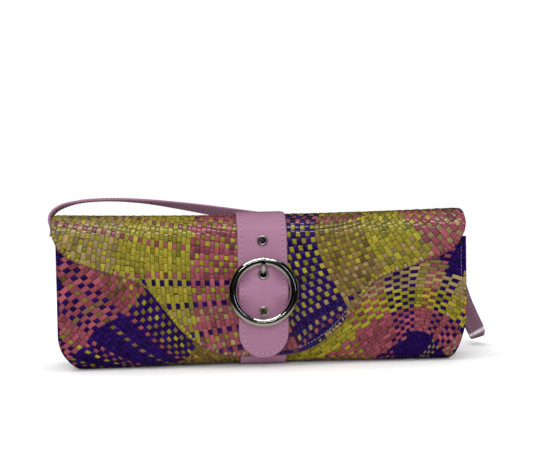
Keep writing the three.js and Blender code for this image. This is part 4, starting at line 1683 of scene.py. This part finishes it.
@dataclass
class Closure:
    """Leather closure strap over the flap, its eyelets, and the band round the base."""

    finishes: Finishes
    half_width: float = 19.8
    wall: float = 1.8
    tip: float = 7.6
    tip_length: float = 20.0
    tip_share: float = 0.18
    back_end: float = 85.0
    buckle_height: float = 61.0
    bar_stand: float = 2.45
    prong_loop: float = 2.15
    bow_reach: Pair = (24.0, 36.0)
    bow_edge_reach: float = 13.5
    gap: float = 0.3
    base_wall: float = 1.0
    base_half_width: float = 18.5
    base_front_turn: float = 65.0
    base_back_top: float = 79.0
    hole: float = 2.35
    barrel: float = 2.75
    flange: float = 4.35
    flange_foot: float = -0.2
    eyelet_crown: float = 0.9
    strap_hole: float = 3.4
    stitch_inset: float = 3.4

    @property
    def eyelets(self) -> dict[str, float]:
        """Heights of the eyelets by the solids that they stand for."""
        return {"eyelet_upper": 103.0, "eyelet_prong": self.buckle_height + 14.1,
                "eyelet_lower": self.buckle_height - 15.7}

    def stand(self, x: Points, length: Points) -> Points:
        """How far the strap's under side stands off the flap, bowed over the prong's loop.

        Args:
            x: Places across the strap.
            length: Lengths up the flap.

        Returns:
            Distances in mm.
        """
        middle = np.where(length < self.buckle_height, *self.bow_reach)
        reach = middle + (self.bow_edge_reach - middle) * smoothstep(4.0, 17.0, np.abs(x))
        share = np.minimum(1.0, np.abs(length - self.buckle_height) / reach)
        over = self.bar_stand + self.prong_loop + 0.25
        return self.gap + (over - self.gap) * np.cos(share * QUARTER_TURN) ** 2

    def point(self, x: Points, length: Points, depth: Points) -> Points:
        """Points of the strap at a height over its under side."""
        return FORM.flap(x, length, -self.stand(x, length) - depth)

    def on_middle(self, length: float, depth: float) -> Points:
        """Point on the strap's middle line at a height over its under side."""
        return self.point(np.zeros(1), length, depth)[0]

    def half_at(self, length: Points, inset: float = 0.0) -> Points:
        """Half the strap's width at a length, with its rounded end."""
        left = np.clip(1.0 - (length - self.tip - inset) / (self.tip_length - inset), 0.0, 1.0)
        return (self.half_width - inset) * np.sqrt(np.maximum(0.0, 1.0 - left ** 2))

    def lengths(self, share: Points) -> Points:
        """Lengths along the strap, close together near its rounded end.

        Args:
            share: Shares of its rows of faces.

        Returns:
            Lengths up the flap.
        """
        end = FORM.over_crown + FORM.riser - self.back_end
        start = self.tip + 0.02
        straight = start + self.tip_length
        tip = start + self.tip_length * np.minimum(1.0, share / self.tip_share) ** 2
        past = (share - self.tip_share) / (1.0 - self.tip_share)
        return np.where(share < self.tip_share, tip, straight + (end - straight) * past)

    def face(self, top: bool, a: Points, b: Points) -> Points:
        """Points of one face of the strap, thinned to its rounded edges.

        Args:
            top: True for the outer face.
            a: Shares across.
            b: Shares along.

        Returns:
            Points in mm.
        """
        length = self.lengths(b)
        half = self.half_at(length)
        x = (2.0 * a - 1.0) * half
        beside = half - np.abs(x)
        round_off = 0.55 * (1.0 - np.clip(np.minimum(beside, length - self.tip) / 1.1, 0.0, 1.0)) ** 2
        groove = 0.12 * np.exp(-((beside - self.stitch_inset) / 0.55) ** 2) * (length > 12.0)
        depth = self.wall - round_off - groove if top else np.minimum(round_off, 0.4)
        return self.point(x, length, depth)

    def strap(self) -> Piece:
        """Builds the strap with its eyelet holes.

        Returns:
            The strap.
        """
        holes = tuple(Vector(self.on_middle(height, self.wall / 2)) for height in self.eyelets.values())
        bm = walled(48, 230, partial(self.face, True), partial(self.face, False), holes, self.strap_hole)
        return new_object("closure_strap_leather", bm, self.finishes.leather)

    def stitches(self) -> list[Piece]:
        """Sews the strap's edges.

        Returns:
            The threads and their holes.
        """
        sewing = Stitching(pitch=4.4, length=3.3, width=0.62)
        straight = self.tip + self.tip_length
        low = np.linspace(self.tip + self.stitch_inset + 0.001, straight, 60)
        high = np.linspace(straight, FORM.flap_length - 8.0, 150)[1:]
        length = np.concatenate([high[::-1], low[::-1], low[1:], high])
        sign = np.where(np.arange(len(length)) < len(high) + len(low), -1.0, 1.0)
        x = sign * self.half_at(length, self.stitch_inset)
        sewing.on_panel(self.point, x, length, self.wall - 0.05, self.wall + 1.0)
        return [sewing.joined("closure_stitches", sewing.threads, self.finishes.pink_thread),
                sewing.joined("closure_needle_holes", sewing.holes, self.finishes.needle_hole_shade)]

    def eyelet(self, node: str, height: float) -> Piece:
        """Turns one eyelet and stands it square on the strap's outer face.

        Args:
            node: The solid that it stands for.
            height: Its height up the flap.

        Returns:
            The eyelet.
        """
        hole, barrel, flange, crown = self.hole, self.barrel, self.flange, self.eyelet_crown
        foot = self.flange_foot
        profile = [(hole, self.wall), (barrel, self.wall), (barrel, foot), (flange, foot),
                   (flange, foot - crown * 0.35), (flange - 0.35, foot - crown * 0.8),
                   (flange - 0.95, foot - crown), (hole + 0.6, foot - crown * 0.9),
                   (hole + 0.15, foot - crown * 0.5)]
        bm = bmesh.new()
        ring = [bm.verts.new((radius, depth, 0.0)) for radius, depth in profile]
        for first, second in zip(ring, ring[1:] + ring[:1]):
            bm.edges.new((first, second))
        spin_round(bm, 40)
        along = self.on_middle(height + 1.0, self.wall) - self.on_middle(height - 1.0, self.wall)
        lean = math.atan2(along[1], along[2])
        bmesh.ops.rotate(bm, verts=bm.verts, cent=(0, 0, 0), matrix=Matrix.Rotation(-lean, 3, "X"))
        bmesh.ops.translate(bm, verts=bm.verts, vec=self.on_middle(height, self.wall))
        piece = new_object(f"{node}_nickel", bm, self.finishes.nickel)
        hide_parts(node)
        return piece

    def base_band(self) -> Piece:
        """Builds the band down the back, under the base and up to its front end under the flap's edge.

        Returns:
            The band.
        """
        half = self.base_wall / 2
        side = FORM.half_depth + self.gap + half
        radius = side - FORM.half_depth + FORM.base_radius
        behind = np.linspace(QUARTER_TURN, 0.0, 12)
        ahead = np.linspace(0.0, math.radians(self.base_front_turn), 12)
        down = np.linspace(self.base_back_top, half + radius + 1.0, 8)
        y = np.concatenate([np.full_like(down, side), side - radius + radius * np.sin(behind), [0.0],
                            radius - side - radius * np.sin(ahead)])
        z = np.concatenate([down, half + radius - radius * np.cos(behind), [half],
                            half + radius - radius * np.cos(ahead)])
        line = np.stack([y, z], -1)
        run = run_of(line)
        way = unit(np.gradient(line, run, axis=0))
        off = np.stack([-way[:, 1], way[:, 0]], -1)

        def face(sign: float, a: Points, b: Points) -> Points:
            """Points of one face of the band, thinned to its edges.

            Args:
                sign: 1 for the outer face, -1 for the inner one.
                a: Shares across.
                b: Shares along.

            Returns:
                Points in mm.
            """
            x = (2.0 * a - 1.0) * self.base_half_width
            rim = np.clip((self.base_half_width - np.abs(x)) / 0.8, 0.0, 1.0)
            thick = half * (1.0 - 0.45 * (1.0 - rim) ** 2)
            at = b * run[-1]
            place = read_line(at, run, line) + (sign * thick)[:, None] * read_line(at, run, off)
            return FORM.settle(x, place[:, 0], np.maximum(0.0, place[:, 1]))

        bm = walled(24, 120, partial(face, 1.0), partial(face, -1.0))
        return new_object("base_band_leather", bm, self.finishes.leather)

    def build(self) -> list[Piece]:
        """Builds the leather closure.

        Returns:
            The pieces.
        """
        strap, band = self.strap(), self.base_band()
        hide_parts("closure_strap")
        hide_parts("base_strap")
        pieces = [strap, band, *self.stitches()]
        return pieces + [self.eyelet(node, height) for node, height in self.eyelets.items()]


@dataclass
class Buckle:
    """Chrome ring with its centre bar, and the prong."""

    finishes: Finishes
    height: float = 61.0
    radius: float = 24.4
    tube: float = 3.6
    bar_radius: float = 1.0
    bar_stand: float = 2.45
    post_radius: float = 1.5
    ring_stand: float = 6.9
    collar_radius: float = 2.15
    collar_width: float = 2.9
    prong_half_width: float = 1.7
    prong_wall: float = 1.5
    prong_corner: float = 0.75
    prong_stand: tuple[float, ...] = (2.45, 2.1, 1.9, 3.2, 5.4, 7.7, 10.2, 11.55, 11.0)
    prong_height: tuple[float, ...] = (1.75, 6.0, 10.2, 13.1, 14.5, 16.4, 20.0, 24.4, 27.6)

    @property
    def front(self) -> float:
        """The flap's face behind the buckle."""
        return float(FORM.settle(np.zeros(1), np.array([-FORM.flap_front]), np.array([self.height]))[0, 1])

    @property
    def bar_middle(self) -> Triple:
        """Middle of the centre bar."""
        return (0.0, self.front - self.bar_stand, self.height)

    def ring(self) -> Piece:
        """Spins the ring and sets its centre bar and the bar's posts in it.

        Returns:
            The ring.
        """
        bm = bmesh.new()
        bmesh.ops.create_circle(bm, segments=28, radius=self.tube)
        bmesh.ops.translate(bm, verts=bm.verts, vec=(self.radius, 0.0, 0.0))
        spin_round(bm, 112)
        bmesh.ops.translate(bm, verts=bm.verts, vec=(0.0, self.front - self.ring_stand, self.height))
        add_rod(bm, self.bar_radius, 2 * self.radius - 1.0, 20, "Y", self.bar_middle)
        middle = self.front - (self.ring_stand + self.bar_stand - 1.0) / 2
        for x in (0.5 - self.radius, self.radius - 0.5):
            length = self.ring_stand - self.bar_stand + 1.0
            add_rod(bm, self.post_radius, length, 20, "X", (x, middle, self.height))
        bmesh.ops.recalc_face_normals(bm, faces=bm.faces)
        piece = new_object("buckle_ring_chrome", bm, self.finishes.chrome)
        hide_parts("buckle_ring")
        return piece

    def prong(self) -> Piece:
        """Bends the prong from the bar through the eyelet to the ring.

        Returns:
            The prong.
        """
        knots = np.linspace(0.0, 1.0, len(self.prong_stand))
        share = np.linspace(0.0, 1.0, 60)
        stand, rise = (smooth_line(knots, np.array(values), share)
                       for values in (self.prong_stand, self.prong_height))
        line = np.stack([np.zeros_like(share), self.front - stand, self.height + rise], -1)
        way = unit(np.gradient(line, axis=0))
        out = np.stack([np.zeros_like(share), -way[:, 2], way[:, 1]], -1)

        def place(a: Points, b: Points) -> Points:
            """Points of the prong's rounded section.

            Args:
                a: Shares along.
                b: Shares round.

            Returns:
                Points in mm.
            """
            turn = 2 * math.pi * b
            tip = np.clip((1.0 - a) / 0.07, 0.0, 1.0)
            blunt = np.sqrt(np.maximum(0.02, 1.0 - (1.0 - tip) ** 2))
            wide = blunted(np.cos(turn), self.prong_corner) * self.prong_half_width * blunt
            thick = blunted(np.sin(turn), self.prong_corner) * self.prong_wall / 2 * blunt
            points = read_line(a, share, line) + read_line(a, share, out) * thick[:, None]
            points[:, 0] += wide
            return points

        bm = section_loft(64, 20, place)
        add_rod(bm, self.collar_radius, self.collar_width, 28, "Y", self.bar_middle)
        piece = new_object("buckle_prong_chrome", bm, self.finishes.chrome)
        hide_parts("buckle_prong")
        return piece

    def build(self) -> list[Piece]:
        """Builds the buckle.

        Returns:
            The pieces.
        """
        pieces = [self.ring(), self.prong()]
        return pieces


@dataclass(frozen=True)
class Way:
    """A point of the shoulder strap's route in metres, and the way its outer face looks there."""

    x: float
    y: float
    z: float
    nx: float
    ny: float
    nz: float

    @property
    def point(self) -> Points:
        """The point in mm."""
        return np.array([self.x, self.y, self.z]) / MM

    @property
    def facing(self) -> Points:
        """The way the outer face looks."""
        return np.array([self.nx, self.ny, self.nz])


@dataclass
class ShoulderStrap:
    """Flat leather strap, sewn inside both end walls, over and behind the bag."""

    finishes: Finishes
    half_width: float = 7.5
    wall: float = 2.6
    edge_wall: float = 1.8
    edge_round: float = 1.6
    rings: int = 400
    steps: int = 24
    stitch_inset: float = 2.9
    groove: float = 0.16
    # Place, width and strength of the crease's painted highlight and wear.
    crease_point: int = 21
    crease_before: float = 2.6
    crease_half_width: float = 1.9
    crease_strength: float = 0.92
    # Route points and fade of the painted shade on the hanging end.
    painted_shade_points: tuple[int, int] = (17, 24)
    painted_shade_fade: float = 22.0
    bend_point: int = 20
    bend_round: float = 0.3
    bend_reach: float = 4.6
    route: tuple[Way, ...] = (
        Way(-0.1556, 0.002, 0.076, -1, 0, 0.06), Way(-0.1564, 0.002, 0.091, -1, 0, 0.08),
        Way(-0.1578, 0.002, 0.1028, -0.85, 0, 0.5), Way(-0.1632, 0.0036, 0.1094, -0.7, 0, 0.75),
        Way(-0.1698, 0.0058, 0.1142, -0.9, 0.05, 0.4), Way(-0.1705, 0.0078, 0.122, -0.95, 0.05, 0.35),
        Way(-0.1652, 0.0104, 0.1284, -0.75, 0.02, 0.65), Way(-0.1496, 0.017, 0.1336, -0.25, 0, 1),
        Way(-0.127, 0.023, 0.1352, -0.02, 0.02, 1), Way(-0.098, 0.029, 0.1336, 0.04, 0.12, 1),
        Way(-0.061, 0.035, 0.1283, 0.1, 0.38, 0.9), Way(-0.021, 0.039, 0.121, 0.12, 0.62, 0.78),
        Way(0.018, 0.0415, 0.113, 0.12, 0.86, 0.5), Way(0.056, 0.0445, 0.1044, 0.1, 0.97, 0.25),
        Way(0.094, 0.049, 0.0936, 0.05, 1, 0.1), Way(0.13, 0.056, 0.08, 0, 1, 0),
        Way(0.16, 0.063, 0.063, 0, 1, -0.05), Way(0.1795, 0.0665, 0.047, 0.1, 1, -0.05),
        Way(0.189, 0.0665, 0.033, 0.2, 1, -0.1), Way(0.1956, 0.064, 0.017, 0.25, 0.95, -0.3),
        Way(0.1994, 0.0574, 0.0068, 0.3, 0.15, -1), Way(0.1954, 0.0505, 0.0134, 0.2, -1, -0.35),
        Way(0.1882, 0.047, 0.028, 0.15, -1, 0), Way(0.181, 0.041, 0.043, 0.25, -1, 0),
        Way(0.1732, 0.028, 0.066, 0.7, -0.7, 0), Way(0.1686, 0.014, 0.089, 0.95, -0.25, 0.05),
        Way(0.1656, 0.006, 0.1018, 0.85, -0.05, 0.5), Way(0.1602, 0.003, 0.1064, 0.1, 0, 1),
        Way(0.1568, 0.002, 0.0998, -0.95, 0, 0.3), Way(0.1562, 0.002, 0.084, -1, 0, 0.06))

    def curve(self, points: Points) -> Points:
        """Runs a centripetal curve through points.

        Args:
            points: The points.

        Returns:
            Points of the curve.
        """
        whole = np.concatenate([[2 * points[0] - points[1]], points, [2 * points[-1] - points[-2]]])
        t = (np.arange(self.steps) / self.steps)[:, None]
        out = []
        for a, b, c, d in zip(whole, whole[1:], whole[2:], whole[3:]):
            p, q, r = (max(1e-4, float(((end - start) ** 2).sum()) ** 0.25)
                       for start, end in ((a, b), (b, c), (c, d)))
            first = ((b - a) / p - (c - a) / (p + q) + (c - b) / q) * q
            last = ((c - b) / q - (d - b) / (q + r) + (d - c) / r) * q
            square = 3 * c - 3 * b - 2 * first - last
            out.append(b + first * t + square * t ** 2 + (2 * b - 2 * c + first + last) * t ** 3)
        return np.concatenate([*out, points[-1:]])

    def length_at(self, point: int, middle: Points, run: Points) -> float:
        """Length along the strap at a point of its route."""
        return run[np.argmin(np.linalg.norm(middle - self.route[point].point, axis=1))]

    def wear(self, strap: Piece, middle: Points, run: Points) -> None:
        """Marks the strap's hanging end for painted shade, and the crease in its lowest bend for painted
        highlight and wear.

        Args:
            strap: The strap.
            middle: Points of its middle line in mm.
            run: Lengths along the strap at those points.
        """
        verts = np.array([vert.co for vert in strap.data.vertices]) / MM
        length = run[np.argmin(((verts[:, None, :] - middle[None, :, :]) ** 2).sum(-1), axis=1)]
        first, last = (self.length_at(point, middle, run) for point in self.painted_shade_points)
        fade = self.painted_shade_fade
        # Painted shade along the hanging end.
        painted_shade = smoothstep(first - fade, first, length) * smoothstep(last + fade, last, length)
        # Pale crease in the lowest bend: painted highlight and wear.
        crease_at = self.length_at(self.crease_point, middle, run) - self.crease_before
        crease = self.crease_strength * np.exp(-((length - crease_at) / self.crease_half_width) ** 4)
        for name, share in (("painted_shade", painted_shade), ("crease", crease)):
            layer = strap.data.attributes.new(name, "FLOAT", "POINT")
            layer.data.foreach_set("value", share.astype(np.float32))

    def build(self) -> list[Piece]:
        """Returns:
            The pieces.
        """
        line = self.curve(np.array([way.point for way in self.route]))
        facing = self.curve(np.array([way.facing for way in self.route]))
        run = run_of(line)
        even = np.linspace(0.0, run[-1], self.rings + 1)
        middle = read_line(even, run, line)
        along = unit(np.gradient(middle, axis=0))
        across = unit(np.cross(along, read_line(even, run, facing)))
        out = np.cross(across, along)
        bend = (even - self.length_at(self.bend_point, middle, even)) / self.bend_reach
        outer_share = 1.0 - self.bend_round * np.exp(-bend ** 2)

        def place(a: Points, b: Points) -> Points:
            """Points of the strap's section with its rounded edges and sewn grooves.

            Args:
                a: Shares along.
                b: Shares round.

            Returns:
                Points in mm.
            """
            k = np.rint(a * self.rings).astype(int)
            turn = 2 * math.pi * b
            wide = blunted(np.cos(turn), 0.5) * self.half_width
            flat = blunted(np.sin(turn), 0.32)
            beside = self.half_width - np.abs(wide)
            inner = np.clip(beside / self.edge_round, 0.0, 1.0)
            thick = flat * (self.edge_wall + (self.wall - self.edge_wall) * inner) / 2
            groove = self.groove * np.exp(-((beside - self.stitch_inset) / 0.5) ** 2) * np.sign(flat)
            wide = np.where(wide > 0.0, wide * outer_share[k], wide)
            return middle[k] + across[k] * wide[:, None] + out[k] * (thick - groove)[:, None]

        bm = section_loft(self.rings, 40, place)
        strap = new_object("shoulder_strap_leather", bm, self.finishes.strap_leather)
        self.wear(strap, middle, even)
        sewing = Stitching(pitch=3.1, length=2.3, width=0.55)
        inset = self.half_width - self.stitch_inset
        for offset in (np.full_like(even, -inset), inset * outer_share):
            edge = middle + across * offset[:, None]
            for face in (out, -out):
                sewing.row(edge + face * (self.wall / 2 - 0.08), face)
        threads = sewing.joined("shoulder_stitches", sewing.threads, self.finishes.pink_thread)
        holes = sewing.joined("shoulder_needle_holes", sewing.holes, self.finishes.needle_hole_shade)
        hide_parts("shoulder_strap")
        LOG.info("shoulder strap %.0f mm long", run[-1])
        return [strap, threads, holes]


@dataclass(frozen=True)
class Lamp:
    """One soft area lamp."""

    name: str
    lit: Lit
    power: float
    place: Triple
    target: Triple
    size: Pair
    colour: Triple = WHITE

    def build(self) -> None:
        """Sets the lamp up."""
        data = bpy.data.lights.new(self.name, "AREA")
        data.shape = "RECTANGLE"
        data.size, data.size_y = self.size
        data.energy = self.power
        data.color = self.colour
        lamp = bpy.data.objects.new(self.name, data)
        lamp.location = self.place
        lamp.rotation_euler = (Vector(self.target) - Vector(self.place)).to_track_quat("-Z", "Y").to_euler()
        lamp.visible_glossy = self.lit is Lit.GLOSS
        lamp.visible_diffuse = self.lit is Lit.MATT
        bpy.context.scene.collection.objects.link(lamp)


BAG_MIDDLE = (0.0, 0.0, 0.06)
WARM = (1.0, 0.98, 0.94)
COOL = (0.62, 0.82, 1.0)


@dataclass(frozen=True)
class Studio:
    """White floor, soft matt lamps, narrow lamps for the glints, and a room that is dark to the metal."""

    floor_radius: float = 800.0
    floor_drop: float = 0.4
    room: float = 0.52
    lamps: tuple[Lamp, ...] = (
        Lamp("softbox", Lit.MATT, 48.0, (-0.3, -0.1, 2.2), (0.0, 0.0, 0.0), (3.0, 3.0)),
        Lamp("strip_lamp", Lit.GLOSS, 9.0, (-0.1, -0.55, 1.2), (0.0, 0.0, 0.1), (1.4, 0.14), WARM),
        Lamp("front_fill", Lit.MATT, 41.0, (-0.2, -2.2, 0.7), BAG_MIDDLE, (2.0, 1.6)),
        Lamp("grey_ceiling", Lit.GLOSS, 7.0, (0.0, 0.3, 2.0), (0.0, 0.3, 0.0), (3.0, 3.0)),
        Lamp("grey_card", Lit.GLOSS, 0.6, (0.0, -2.4, 0.9), BAG_MIDDLE, (3.0, 2.0)),
        Lamp("low_strip_lamp", Lit.GLOSS, 1.6, (-0.25, -1.5, 0.75), BAG_MIDDLE, (1.2, 0.04), WARM),
        Lamp("window", Lit.GLOSS, 1.2, (0.9, -1.6, 0.25), BAG_MIDDLE, (0.14, 1.3), COOL))

    def floor(self) -> None:
        """Lays a white disc."""
        bm = bmesh.new()
        bmesh.ops.create_circle(bm, cap_ends=True, segments=96, radius=self.floor_radius)
        bmesh.ops.translate(bm, verts=bm.verts, vec=(0.0, 0.0, -self.floor_drop))
        new_object("floor", bm, FloorFinish().make())

    def walls(self) -> None:
        """Makes the room white to the camera, grey to matt surfaces and dark to the metal."""
        world = bpy.data.worlds.new("room")
        bpy.context.scene.world = world
        world.use_nodes = True
        world.cycles_visibility.glossy = False
        tree = world.node_tree
        paper = wire(tree, tree.nodes["Background"], Color=(*WHITE, 1.0), Strength=1.0)
        room = linked(tree, "ShaderNodeBackground", Color=(*WHITE, 1.0), Strength=self.room)
        ray = tree.nodes.new("ShaderNodeLightPath")
        seen = tree.nodes.new("ShaderNodeMixShader")
        sources = (ray.outputs["Is Camera Ray"], room.outputs[0], paper.outputs[0])
        for socket, source in zip(seen.inputs, sources):
            tree.links.new(source, socket)
        wire(tree, tree.nodes["World Output"], Surface=seen.outputs[0])

    def build(self) -> None:
        """Builds the floor, the lamps and the room."""
        self.floor()
        for lamp in self.lamps:
            lamp.build()
        self.walls()
        view = bpy.context.scene.view_settings
        view.view_transform = "Standard"
        view.look = "None"


@dataclass(frozen=True)
class PhotoCamera:
    """Camera at the photograph's angle, in metres and degrees."""

    place: Triple = (-0.0588, -0.883, 0.1457)
    pitch: float = 2.33
    yaw: float = 4.58
    roll: float = 0.99
    lens: float = 70.6

    def build(self) -> None:
        """Sets the camera."""
        pitch, yaw, roll = (math.radians(angle) for angle in (self.pitch, self.yaw, self.roll))
        look = Vector((math.sin(yaw) * math.cos(pitch), math.cos(yaw) * math.cos(pitch), -math.sin(pitch)))
        level = look.cross(Vector((0, 0, 1))).normalized()
        lift = level.cross(look)
        right = level * math.cos(roll) - lift * math.sin(roll)
        up = level * math.sin(roll) + lift * math.cos(roll)
        data = bpy.data.cameras.new("photo_camera")
        data.lens = self.lens
        data.sensor_width = 36.0
        data.sensor_fit = "HORIZONTAL"
        data.clip_start = 0.01
        camera = bpy.data.objects.new("photo_camera", data)
        turn = Matrix((right, up, -look)).transposed().to_4x4()
        camera.matrix_world = Matrix.Translation(self.place) @ turn
        bpy.context.scene.collection.objects.link(camera)
        bpy.context.scene.camera = camera


def main() -> None:
    """Builds the bag piece by piece."""
    logging.basicConfig(level=logging.INFO, format="%(message)s")
    PhotoCamera().build()
    finishes = Finishes()
    parts = (ShoulderStrap(finishes), Body(finishes), EndWall(finishes, -1, "gusset_left"),
             EndWall(finishes, 1, "gusset_right"), Flap(finishes), Closure(finishes), Buckle(finishes))
    for part in parts:
        for piece in part.build():
            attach(piece, ROOT)
            LOG.info("%s: %d faces", piece.name, len(piece.data.polygons))
    Studio().build()


if __name__ == "__main__":
    main()
